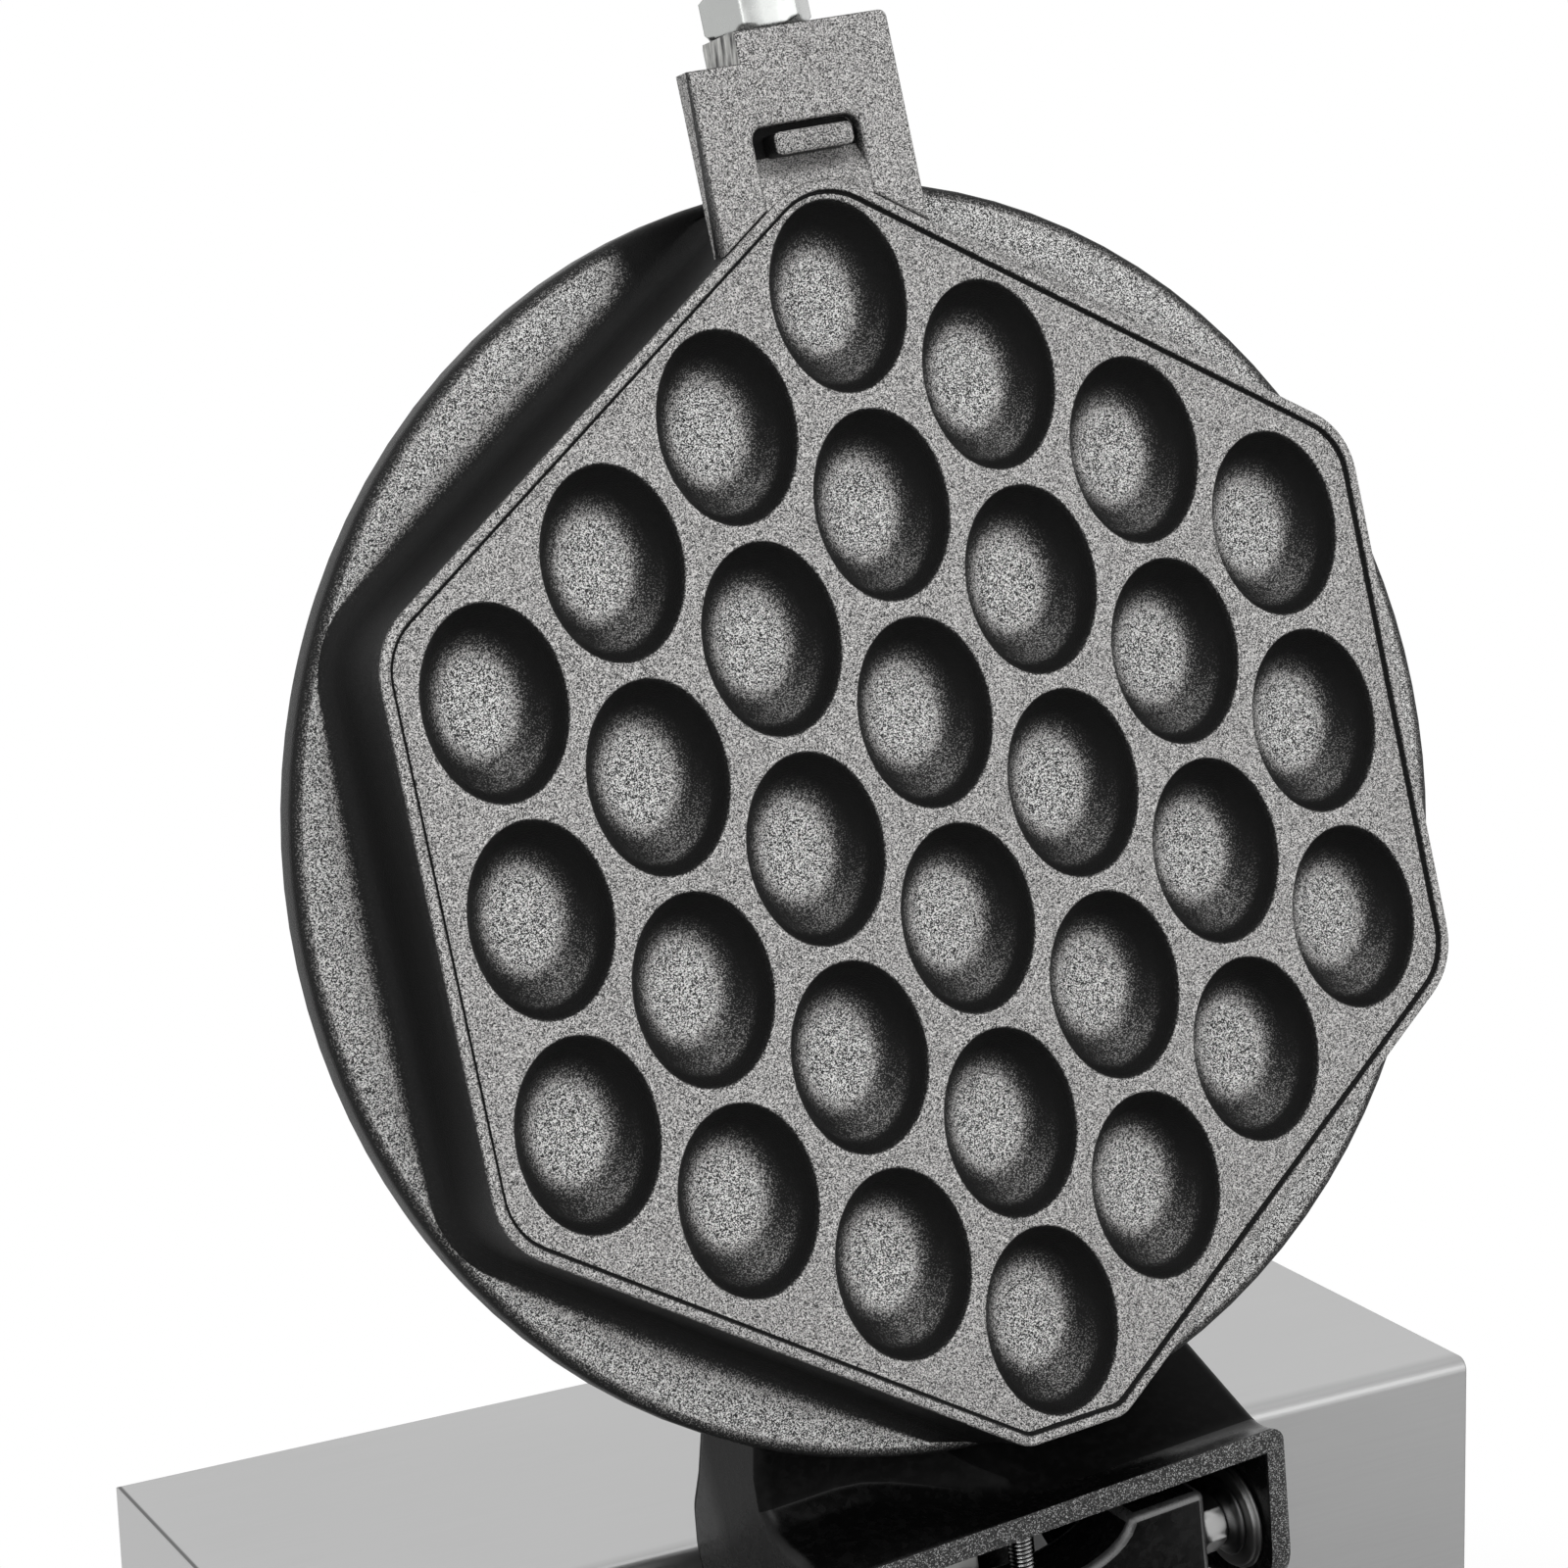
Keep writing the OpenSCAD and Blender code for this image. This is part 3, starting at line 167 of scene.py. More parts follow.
# each lamp: its place, what it aims at, its width and height, and its watts
studio = {"floorSize": 60.0, "paper": grey(0.86), "paperFade": (0.3, 0.75), "skyForLight": 0.42,
          "whiteForView": 1.0,
          "lamps": {"plateBox": ((0.75, -1.35, 0.75), (0, 0.16, 0.40), 1.5, 1.5, 11.5),
                    "topBox": ((-0.1, 0.2, 2.1), (0, 0.2, 0.2), 2.1, 2.1, 18),
                    "leftBox": ((-1.35, -1.05, 0.85), (0, 0.15, 0.35), 1.0, 1.3, 12.5)}}


def raysThatSee(tree):  # 1 for camera, glossy and transmission rays
    rays = addNode(tree, "LightPath").outputs
    return addMath(tree, "MAXIMUM", addMath(tree, "MAXIMUM", rays["Is Camera Ray"], rays["Is Glossy Ray"]),
                   rays["Is Transmission Ray"])


def mixShaders(tree, share, first, second, out):
    mix = addNode(tree, "MixShader", Fac=share)
    tree.links.new(first.outputs[0], mix.inputs[1])
    tree.links.new(second.outputs[0], mix.inputs[2])
    tree.links.new(mix.outputs[0], out.inputs["Surface"])


def makeFloorPaper():  # pale paper under the machine, which runs out into plain white further away
    mat, t, bsdf, at = startMaterial("floorPaper", Base_Color=studio["paper"], Roughness=0.9,
                                     Specular_IOR_Level=0.1)
    near, far = studio["paperFade"]
    fade = addNode(t, "MapRange", interpolation_type="SMOOTHSTEP", Value=addVectorMath(t, "LENGTH", at),
                   From_Min=near, From_Max=far)
    mixShaders(t, addMath(t, "MULTIPLY", fade.outputs["Result"], raysThatSee(t)), bsdf, addNode(t, "Emission"),
               t.nodes["Material Output"])
    return mat


def setUpStudio():
    bm = bmesh.new()
    bmesh.ops.create_grid(bm, x_segments=2, y_segments=2, size=studio["floorSize"] / 2)
    floor = addObject("floor", bpy.data.meshes.new("floor"))
    bm.to_mesh(floor.data)
    bm.free()
    floor.data.materials.append(makeFloorPaper())
    for name, (at, aim, width, height, watts) in studio["lamps"].items():
        lamp = addObject(name, bpy.data.lights.new(name, "AREA"))
        lamp.data.shape = "RECTANGLE"
        lamp.data.size, lamp.data.size_y = width, height
        lamp.data.energy = watts
        lamp.location = at
        lamp.rotation_euler = (Vector(aim) - Vector(at)).to_track_quat("-Z", "Y").to_euler()
    world = bpy.data.worlds.new("studioWorld")
    bpy.context.scene.world = world
    world.use_nodes = True
    t = world.node_tree
    t.nodes.clear()
    light = addNode(t, "Background", Color=grey(1), Strength=studio["skyForLight"])
    seen = addNode(t, "Background", Color=grey(1), Strength=studio["whiteForView"])
    mixShaders(t, raysThatSee(t), light, seen, addNode(t, "OutputWorld"))
    bpy.context.scene.view_settings.view_transform = "Standard"


setUpCamera()
setUpStudio()
print("camera and studio ready")


def makeGrainGroup():  # two sizes of grain: a mask of pale flakes and a height
    g, i, o = newGroup("grain", [("Vector", "Vector", None), ("Size", "Float", 0.5), ("Cover", "Float", 0.5),
                                 ("Soft", "Float", 0.5)], [("Flakes", "Float"), ("Height", "Float")])
    scale = addMath(g, "DIVIDE", 1000.0, i["Size"])
    coarse = addNode(g, "TexNoise", Vector=i["Vector"], Scale=scale, Detail=2.0, Roughness=0.6)
    fine = addNode(g, "TexVoronoi", feature="F1", Vector=i["Vector"], Scale=addMath(g, "MULTIPLY", scale, 1.7),
                   Randomness=1.0)
    split = addNode(g, "SeparateColor", Color=fine.outputs["Color"])
    both = addMath(g, "ADD", addMath(g, "MULTIPLY", split.outputs[0], 0.55),
                   addMath(g, "MULTIPLY", addRange(g, coarse.outputs["Fac"], 0.3, 0.7), 0.45))
    centre = addMath(g, "SUBTRACT", 1.1, i["Cover"])
    half = addMath(g, "MULTIPLY", i["Soft"], 0.5)
    setUp(g, o, Flakes=addRange(g, both, addMath(g, "SUBTRACT", centre, half), addMath(g, "ADD", centre, half)),
          Height=both)
    return g


def makeEdgeGroup():  # edges worn pale, and their rounded normal
    g, i, o = newGroup("softEdge", [("Radius", "Float", 0.0006)], [("Normal", "Vector"), ("Wear", "Float")])
    rounded = addNode(g, "Bevel", samples=4, Radius=i["Radius"]).outputs["Normal"]
    dot = addVectorMath(g, "DOT_PRODUCT", rounded, addNode(g, "NewGeometry").outputs["Normal"])
    setUp(g, o, Normal=rounded, Wear=addRange(g, dot, 0.995, 0.85))
    return g


def makeBrushGroup():  # fine lines along one direction
    g, i, o = newGroup("brushed", [("Vector", "Vector", None), ("Along", "Vector", (1.0, 60.0, 60.0)),
                                   ("Fineness", "Float", 60.0)], [("Height", "Float"), ("Cloud", "Float")])
    lines = addNode(g, "TexNoise", Vector=addVectorMath(g, "MULTIPLY", i["Vector"], i["Along"]),
                    Scale=i["Fineness"], Detail=4.0, Roughness=0.65)
    cloud = addNode(g, "TexNoise", Vector=i["Vector"], Scale=7.0, Detail=3.0)
    setUp(g, o, Height=lines.outputs["Fac"], Cloud=cloud.outputs["Fac"])
    return g


grainGroup = makeGrainGroup()
edgeGroup = makeEdgeGroup()
brushGroup = makeBrushGroup()

# the grain attribute runs from 0 (smooth wall) to 1 (fine grain) and on to 2 (coarse, sharp grain); part way
# down the lower side of each bowl's wall it also carries pale flakes as a painted highlight
coating = {"wall": grey(0.006), "dark": grey(0.03), "pale": (0.62, 0.61, 0.60, 1),
           "palest": (0.8, 0.8, 0.79, 1), "grain": 0.29, "cover": 0.57, "soft": (0.46, 0.16)}


def makeCoating():
    mat, t, bsdf, at = startMaterial("coatedPlate", Specular_IOR_Level=0.12)
    own = addNode(t, "Attribute", attribute_name="grain").outputs["Fac"]
    share = addRange(t, own, 0, 1)
    grain = addGroup(t, grainGroup, Vector=at, Size=coating["grain"], Cover=coating["cover"],
                     Soft=addRange(t, own, 1, 2, *coating["soft"])).outputs
    flakes = addMath(t, "ADD", grain["Flakes"], addMath(t, "SUBTRACT", share, 1), clamp=True)
    ground = addMix(t, share, coating["wall"], coating["dark"])
    pale = addMix(t, addRange(t, own, 1, 2), coating["pale"], coating["palest"])
    setUp(t, bsdf, Base_Color=addMix(t, flakes, ground, pale), Metallic=addMath(t, "MULTIPLY", flakes, 0.55),
          Roughness=addRange(t, share, 0, 1, 0.34, 0.46), Normal=addBump(t, grain["Height"], 0.0003, 0.6))
    return mat


metalLooks = {
    "stainless": {"color": grey(0.46), "along": (1, 60, 60), "rough": (0.38, 0.44), "bump": 0.05,
                  # how dark the painted shade on the tower's front is
                  "frontShade": 0.74},
    "traySteel": {"color": (0.5, 0.5, 0.495, 1), "along": (60, 1, 60), "rough": (0.28, 0.36), "bump": 0.06},
    "plainSteel": {"color": (0.5, 0.5, 0.49, 1), "along": (20, 20, 3), "rough": (0.34, 0.5), "bump": 0.15},
    "zinc": {"color": (0.46, 0.47, 0.46, 1), "along": (8, 8, 8), "rough": (0.2, 0.32), "bump": 0.1},
    # a copy of the zinc painted darker as shade, for the pivot nuts and flat washers inside the hood
    "pivotZinc": {"color": (0.18, 0.18, 0.178, 1), "along": (8, 8, 8), "rough": (0.3, 0.4), "bump": 0.1},
    # the stud's valley colour is painted shade between the turns of its thread
    "stud": {"color": grey(0.5), "along": (8, 8, 8), "rough": (0.12, 0.2), "bump": 0.1, "valley": grey(0.008)},
    "turnedSteel": {"color": (0.55, 0.55, 0.54, 1), "along": (4, 60, 4), "rough": (0.22, 0.32), "bump": 0.1},
    "rodSteel": {"color": grey(0.7), "along": (4, 40, 4), "rough": (0.14, 0.24), "bump": 0.05},
    "darkSteel": {"color": grey(0.09), "along": (8, 8, 8), "rough": (0.25, 0.38), "bump": 0.1},
    "elementSteel": {"color": (0.17, 0.15, 0.14, 1), "along": (8, 8, 8), "rough": (0.5, 0.7), "bump": 0.2},
    "bronze": {"color": (0.42, 0.27, 0.12, 1), "along": (6, 30, 6), "rough": (0.35, 0.5), "bump": 0.1}}


def towerShadeAndSeam(t, at, share):  # painted shade: darker on the tower's front and darker still toward its foot, for the darker surroundings the front reflects; also a dark seam along its left top edge
    spot = addNode(t, "SeparateXYZ", Vector=at).outputs
    left, top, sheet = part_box("tower_shell")[0][0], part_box("tower_shell")[1][2], place["towerFrontY"]
    front = addRange(t, spot["Y"], (sheet + 5) * mm, (sheet + 1) * mm)
    height = addRange(t, spot["Z"], 0.1, 0.3, share * 0.93, share)
    seam = addMath(t, "MULTIPLY", addRange(t, spot["X"], left + 0.0001, left + 0.0003),
                   addRange(t, spot["X"], left + 0.0012, left + 0.0008))
    seam = addMath(t, "MULTIPLY", seam, addRange(t, spot["Z"], top - 0.004, top - 0.003))
    paintedShade = addMath(t, "SUBTRACT", 1, addMath(t, "MULTIPLY", front, addMath(t, "SUBTRACT", 1, height)))
    return addMath(t, "MULTIPLY", paintedShade, addMath(t, "SUBTRACT", 1, addMath(t, "MULTIPLY", seam, 0.75)))


def makeMetal(name, look):
    mat, t, bsdf, at = startMaterial(name, Metallic=1.0)
    brush = addGroup(t, brushGroup, Vector=at, Along=look["along"], Fineness=30.0).outputs
    edge = addGroup(t, edgeGroup, Radius=0.0006).outputs
    lift = addMath(t, "ADD", addMath(t, "MULTIPLY", brush["Cloud"], 0.12),
                   addMath(t, "MULTIPLY", brush["Height"], 0.14))
    dark = tuple(c * 0.93 for c in look["color"][:3]) + (1,)
    pale = tuple(min(1, c * 1.07) for c in look["color"][:3]) + (1,)
    base = addMix(t, addRange(t, lift, 0.06, 0.2), dark, pale)
    # painted shade on the tower's front, darker toward its foot, and the dark seam along its left top edge
    if "frontShade" in look:
        base = addVectorMath(t, "SCALE", base, towerShadeAndSeam(t, at, look["frontShade"]))
    base = addMix(t, addMath(t, "MULTIPLY", edge["Wear"], 0.25), base, pale)
    if "valley" in look:  # painted shade between the turns of a thread, darker than its crests
        crest = addNode(t, "Attribute", attribute_name="crest").outputs["Fac"]
        base = addMix(t, addRange(t, crest, 0.35, 0.95), look["valley"], base)
    setUp(t, bsdf, Base_Color=base, Roughness=addRange(t, brush["Height"], 0.3, 0.7, *look["rough"]),
          Normal=addBump(t, brush["Height"], 0.0001, look["bump"], edge["Normal"]))
    return mat


plainLooks = {
    "blackCasting": {"dark": grey(0.003), "pale": grey(0.006), "rough": (0.2, 0.3), "size": 2.2, "bump": 0.04,
                     "wear": 0.04, "edge": 0.0012, "shine": 0.15},
    "rubber": {"dark": grey(0.012), "pale": grey(0.03), "rough": (0.7, 0.85), "size": 0.6, "bump": 0.25,
               "wear": 0.15, "edge": 0.0008},
    "blackPlastic": {"dark": (0.012, 0.012, 0.013, 1), "pale": (0.024, 0.024, 0.025, 1), "rough": (0.42, 0.55),
                     "size": 0.4, "bump": 0.2, "wear": 0.1, "edge": 0.0005},
    "knobPlastic": {"dark": (0.010, 0.010, 0.011, 1), "pale": (0.02, 0.02, 0.021, 1), "rough": (0.28, 0.38),
                    "size": 0.5, "bump": 0.1, "wear": 0.12, "edge": 0.0008},
    "markPaint": {"dark": (0.6, 0.6, 0.58, 1), "pale": (0.75, 0.75, 0.73, 1), "rough": (0.5, 0.6), "size": 1.0,
                  "bump": 0.05, "wear": 0.0, "edge": 0.0003},
    "rockerPlastic": {"dark": (0.42, 0.012, 0.010, 1), "pale": (0.55, 0.03, 0.02, 1), "rough": (0.2, 0.3),
                      "size": 1.5, "bump": 0.04, "wear": 0.1, "edge": 0.0006},
    "lampPlastic": {"dark": (0.75, 0.16, 0.02, 1), "pale": (0.9, 0.3, 0.05, 1), "rough": (0.15, 0.25),
                    "size": 1.5, "bump": 0.04, "wear": 0.1, "edge": 0.0005},
    "ivoryPlastic": {"dark": (0.62, 0.58, 0.48, 1), "pale": (0.74, 0.7, 0.6, 1), "rough": (0.45, 0.6),
                     "size": 1.0, "bump": 0.08, "wear": 0.1, "edge": 0.0005},
    "woolPad": {"dark": (0.5, 0.45, 0.34, 1), "pale": (0.75, 0.7, 0.58, 1), "rough": (0.9, 1.0), "size": 1.2,
                "bump": 0.8, "wear": 0.0, "edge": 0.0008}}
# the black casting's other places: its ground rim, the hood behind the plate and the lugs' rounded edges,
# painted lighter as a highlight and given a strong specular
casting = plainLooks["blackCasting"]
plainLooks["rimCasting"] = {**casting, "dark": grey(0.02), "pale": grey(0.4), "size": 0.3, "bump": 0.35,
                            "rough": (0.45, 0.6), "soft": 0.2}
plainLooks["deepCasting"] = {**casting, "rough": (0.35, 0.45), "shine": 0.04}
plainLooks["lugEdgeHighlight"] = {**casting, "dark": grey(0.03), "pale": grey(0.05), "rough": (0.26, 0.34),
                            "shine": 0.9}


def makePlain(name, look):
    mat, t, bsdf, at = startMaterial(name, Specular_IOR_Level=look.get("shine", 0.3))
    grain = addGroup(t, grainGroup, Vector=at, Size=look["size"], Cover=0.4, Soft=look.get("soft", 0.5)).outputs
    edge = addGroup(t, edgeGroup, Radius=look["edge"]).outputs
    worn = tuple(min(1, c * 2.5 + 0.05) for c in look["pale"][:3]) + (1,)
    base = addMix(t, grain["Flakes"], look["dark"], look["pale"])
    setUp(t, bsdf, Base_Color=addMix(t, addMath(t, "MULTIPLY", edge["Wear"], look["wear"]), base, worn),
          Roughness=addRange(t, grain["Height"], 0.2, 0.8, *look["rough"]),
          Normal=addBump(t, grain["Height"], look["size"] * 0.0003, look["bump"], edge["Normal"]))
    return mat


wood = {"dark": (0.20, 0.085, 0.03, 1), "pale": (0.43, 0.22, 0.09, 1), "stretch": (1, 0.07, 1)}


def makeWood():
    mat, t, bsdf, at = startMaterial("beech", Coat_Weight=0.35, Coat_Roughness=0.18, Specular_IOR_Level=0.4)
    along = addNode(t, "Attribute", attribute_name="turned", attribute_type="GEOMETRY").outputs["Vector"]
    along = addVectorMath(t, "MULTIPLY", along, wood["stretch"])
    rings = addNode(t, "TexNoise", Vector=along, Scale=180.0, Detail=5.0, Roughness=0.55,
                    Distortion=0.4).outputs["Fac"]
    pores = addNode(t, "TexNoise", Vector=along, Scale=1400.0, Detail=2.0).outputs["Fac"]
    base = addMix(t, addRange(t, rings, 0.32, 0.68), wood["dark"], wood["pale"])
    dots = addMath(t, "MULTIPLY", addRange(t, pores, 0.62, 0.72), 0.6)
    setUp(t, bsdf, Base_Color=addMix(t, dots, base, wood["dark"]),
          Roughness=addRange(t, rings, 0.3, 0.7, 0.34, 0.5), Normal=addBump(t, pores, 0.0002, 0.2))
    return mat


sawn = {"dark": grey(0.03), "pale": (0.55, 0.55, 0.53, 1), "along": (2.0, 2.0, 0.25), "fineness": 380.0}


def makeSawnEnd():
    mat, t, bsdf, at = startMaterial("sawnEnd", Metallic=0.7, Roughness=0.38)
    lines = addGroup(t, brushGroup, Vector=at, Along=sawn["along"], Fineness=sawn["fineness"]).outputs["Height"]
    setUp(t, bsdf, Base_Color=addMix(t, addRange(t, lines, 0.35, 0.65), sawn["dark"], sawn["pale"]),
          Normal=addBump(t, lines, 0.0006, 0.9))
    return mat


materials = {"coatedPlate": makeCoating(), "beech": makeWood(), "sawnEnd": makeSawnEnd()}
for looks, make in ((metalLooks, makeMetal), (plainLooks, makePlain)):
    for name, look in looks.items():
        materials[name] = make(name, look)

nodeFinish = {
    "stainless": ["tower_shell", "tower_back_panel", "base_shell"],
    "traySteel": ["drip_tray"],
    "plainSteel": ["base_bottom_plate", "axle_bracket", "stop_plate", "thermostat_body", "lower_clamp_plate",
                   "upper_clamp_plate"],
    "zinc": ["back_panel_screws", "bearing_screws", "tower_screws", "base_screws", "pivot_bolts", "pivot_nuts",
             "flat_washers", "lower_jam_nut", "upper_jam_nut", "stop_screw", "stop_locknut",
             "lower_housing_screws", "upper_housing_screws", "axle_collar"],
    "turnedSteel": ["axle_tube"], "rodSteel": ["lower_handle_rod", "upper_handle_rod"],
    "darkSteel": ["cup_washers", "bearing_flange"], "elementSteel": ["lower_heater", "upper_heater"],
    "bronze": ["axle_bush"], "blackCasting": ["lower_housing", "upper_housing"], "rubber": ["rubber_feet"],
    "blackPlastic": ["timer_body", "switch_body", "cable_gland"],
    "knobPlastic": ["thermostat_knob", "timer_knob"], "rockerPlastic": ["rocker"],
    "lampPlastic": ["indicator_lamps"], "ivoryPlastic": ["thrust_washer", "terminal_block"],
    "woolPad": ["lower_insulation", "upper_insulation"], "beech": ["lower_grip", "upper_grip"],
    "coatedPlate": ["lower_plate", "upper_plate"]}
for finish, names in nodeFinish.items():
    for n in names:
        nodes[n].data.materials.clear()
        nodes[n].data.materials.append(materials[finish])
print("materials ready")


# shared steps of the modelling
def newVerts(bm, before):
    return [v for v in bm.verts if v not in before]


def edgesOf(verts):
    return list({e for v in verts for e in v.link_edges})


def facesOut(bm, verts):  # turns the faces round these points outwards
    bmesh.ops.recalc_face_normals(bm, faces=list({f for v in verts for f in v.link_faces}))


def soften(bm, edges, offset, segments, clamp=True):
    return bmesh.ops.bevel(bm, geom=edges, offset=offset, segments=segments, profile=0.5, affect="EDGES",
                           material=-1, clamp_overlap=clamp)


def raised(made, kind=bmesh.types.BMVert):  # what an extrusion made of this kind
    return [g for g in made["geom"] if isinstance(g, kind)]


def cornerArc(a, v, b, r, steps):  # points of an arc that rounds the corner v between a and b
    a, v, b = Vector(a), Vector(v), Vector(b)
    toA, toB = (a - v).normalized(), (b - v).normalized()
    half = toA.angle(toB) / 2
    centre = v + (toA + toB).normalized() * (r / math.sin(half))
    s = v + toA * (r / math.tan(half)) - centre
    e = v + toB * (r / math.tan(half)) - centre
    sweep = math.atan2(s.x * e.y - s.y * e.x, s.dot(e))
    return [centre + Matrix.Rotation(sweep * k / steps, 2) @ s for k in range(steps + 1)]


def finishPiece(name, bm, matrix, finish, body, replaced, smooth=None):
    bmesh.ops.transform(bm, matrix=Matrix.Scale(mm, 4) @ matrix, verts=bm.verts)
    if matrix.determinant() < 0:
        bmesh.ops.reverse_faces(bm, faces=bm.faces)
    mesh = bpy.data.meshes.new(name)
    bm.to_mesh(mesh)
    bm.free()
    piece = addObject(name, mesh)
    for f in finish if isinstance(finish, list) else [finish]:
        mesh.materials.append(materials[f])
    if smooth is not None:
        mesh.shade_smooth()
        mesh.set_sharp_from_angle(angle=math.radians(smooth))
    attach(piece, body)
    if replaced:
        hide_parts(*replaced)


def extrudeLoop(bm, edges, move):  # a new loop beyond this one; move gives each point its new place
    made = bmesh.ops.extrude_edge_only(bm, edges=edges)
    for v in raised(made):
        v.co = move(v.co)
    return raised(made, bmesh.types.BMEdge)


plate = {"width": 194.4, "tip": 115, "lowTip": 118, "side": 50.4, "blunt": 111.0,
         "rounds": [14, 14, 15, 14, 14, 6, 6], "arcSteps": 8, "sideSteps": 14, "fieldDepth": 0.9,
         "flangeTop": -18.6, "fieldInset": 2.6, "footLimit": 112.0, "flangeEnd": 111.6, "footZ": -17,
         "smoothCorner": (30, 7, 80)}
cellShape = {"columns": [3, 4, 5, 6, 5, 4, 3], "columnPitch": 26, "rowPitch": 36.7, "width": 26.3,
             "length": 33.9, "depth": 9.5, "round": 2.5, "segments": 56, "floorBlend": 0.9, "lastIn": 0.9,
             # the side of each bowl's wall that gets pale flakes as a painted highlight, and how many
             "lower": Vector((0.35, -0.94)), "wallGlintShare": 0.55}
# inset from the outline (or radius), height, share of grain
lipProfile = [(2.55, -0.92, 0.3), (2.45, -1.1, 0.0), (2.15, -1.12, 0.0), (2.0, -0.7, 0.0), (1.93, -0.25, 0.1),
              (1.75, -0.05, 0.9), (1.4, 0, 1.0), (0.7, 0, 1.0), (0.3, -0.1, 1.0), (0.06, -0.4, 0.7),
              (0, -0.9, 0.1), (-0.15, -4, 0.0), (-0.5, -10, 0.0), (-0.9, -14.2, 0.0), (-1.6, -16.4, 0.0),
              (-2.7, -17.9, 0.0), (-4.2, -18.45, 0.05)]
discProfile = [(112.4, -18.68, 0.3), (113.0, -19.0, 0.05), (113.35, -19.5, 0.0), (113.5, -20.2, 0.0),
               (113.5, -24.2, 0.0), (113.3, -24.8, 0.0), (112.8, -25.1, 0.0), (98, -25.1, 0.0),
               (60, -25.1, 0.0)]
# share of the way across the flange, share of grain
flangeGrain = [(0.12, 0.5), (0.3, 1.3), (0.5, 1.8), (0.85, 1.8), (0.97, 1.4), (1.0, 0.7)]
# share of the cell's half width, share of grain
bowlGrain = [(0.965, 0), (0.935, 0), (0.895, 0), (0.84, 0), (0.78, 0), (0.71, 0.1), (0.65, 0.3), (0.59, 0.6),
             (0.52, 0.95), (0.45, 1.7), (0.3, 2), (0.15, 2)]


def plateauCorners(inset):  # six long sides, and a short one where the free end is blunt
    x, y = plate["width"] / 2, plate["side"]
    b = x * (plate["lowTip"] - plate["blunt"]) / (plate["lowTip"] - y)
    corners = [Vector(q) for q in ((x, -y), (x, y), (0, plate["tip"]), (-x, y), (-x, -y), (-b, -plate["blunt"]),
                                   (b, -plate["blunt"]))]
    moved = []
    for i, c in enumerate(corners):
        before, after = (c - corners[i - 1]).normalized(), (corners[(i + 1) % 7] - c).normalized()
        n1, n2 = Vector((-before.y, before.x)), Vector((-after.y, after.x))
        middle = (n1 + n2).normalized()
        moved.append(c + middle * (inset / middle.dot(n1)))
    return moved


def plateauLoop(inset):  # points of the rounded outline, the same count for every inset
    corners = plateauCorners(inset)
    arcs = [cornerArc(corners[i - 1], c, corners[(i + 1) % 7], plate["rounds"][i] - inset, plate["arcSteps"])
            for i, c in enumerate(corners)]
    points = []
    for i, arc in enumerate(arcs):
        points += arc
        after = arcs[(i + 1) % 7][0]
        points += [arc[-1].lerp(after, k / plate["sideSteps"]) for k in range(1, plate["sideSteps"])]
    return points


def cellDepth(s):  # depth of the bowl at this share of its half width
    half, depth = cellShape["length"] / 2, cellShape["depth"]
    curve = depth + cellShape["round"]
    rise = (half ** 2 - curve ** 2) / (2 * curve)
    bowl = math.sqrt(max(0, rise ** 2 + half ** 2 * (1 - s * s))) - rise
    k = cellShape["floorBlend"]
    return -k * math.log(math.exp(-bowl / k) + math.exp(-depth / k))


def addCells(bm):
    one = bmesh.new()
    layer = one.verts.layers.float.new("grain")
    ring = bmesh.ops.create_circle(one, segments=cellShape["segments"], radius=1)["verts"]
    shares = [(1.014, 0.0, 1.0), (1.006, -0.03, 1.0), (0.996, -0.14, 0.6), (0.986, -0.42, 0.1)]
    shares += [(s, -cellDepth(s), g) for s, g in bowlGrain]
    wide, long_ = cellShape["width"] / 2, cellShape["length"] / 2
    for v in ring:
        v.co = Vector((v.co.x * shares[0][0] * wide, v.co.y * shares[0][0] * long_, 0))
        v[layer] = shares[0][2]
    edges = list(one.edges)
    for (before, _, _), (s, z, g) in zip(shares, shares[1:]):
        edges = extrudeLoop(one, edges, lambda c: Vector((c.x * s / before, c.y * s / before, z)))
        for v in {v for e in edges for v in e.verts}:
            # painted highlight: pale flakes part way down the lower side of each bowl's wall, for glints of
            # light from above
            lower = max(0.0, Vector((v.co.x / wide, v.co.y / long_)).normalized().dot(cellShape["lower"]))
            v[layer] = max(g, cellShape["wallGlintShare"] * lower ** 3 * (1 if 0.55 < s < 0.85 else 0))
    bmesh.ops.edgeloop_fill(one, edges=edges)
    mesh = bpy.data.meshes.new("oneCell")
    one.to_mesh(mesh)
    one.free()
    for c, count in enumerate(cellShape["columns"]):
        for k in range(count):
            x = (c - (len(cellShape["columns"]) - 1) / 2) * cellShape["columnPitch"]
            y = (k - (count - 1) / 2) * cellShape["rowPitch"]
            if count == 6 and k == 0:  # the last cell of the middle column stands further in
                y += cellShape["lastIn"]
            before = len(bm.verts)
            bm.from_mesh(mesh)
            bm.verts.ensure_lookup_table()
            bmesh.ops.translate(bm, vec=(x, y, -plate["fieldDepth"]), verts=bm.verts[before:])
    bpy.data.meshes.remove(mesh)


# a drawing of y and z, carried across x, with soft edges
def addPrism(bm, outline, half, roundness, segments=3):
    before = set(bm.verts)
    face = bm.faces.new([bm.verts.new((-half, y, z)) for y, z in outline])
    bmesh.ops.translate(bm, vec=(2 * half, 0, 0), verts=raised(bmesh.ops.extrude_face_region(bm, geom=[face])))
    soften(bm, [e for e in edgesOf(newVerts(bm, before)) if e.calc_face_angle(0) > 0.3], roundness, segments)
    facesOut(bm, newVerts(bm, before))


def besideNeck(q):  # the flange is smooth in the corner on the left of the neck
    side, run, foot = plate["smoothCorner"]
    beside = q.y > foot and round(q.x, 3) < 0
    return max(0.0, min(1.0, (-q.x - side) / run)) if beside else 1.0


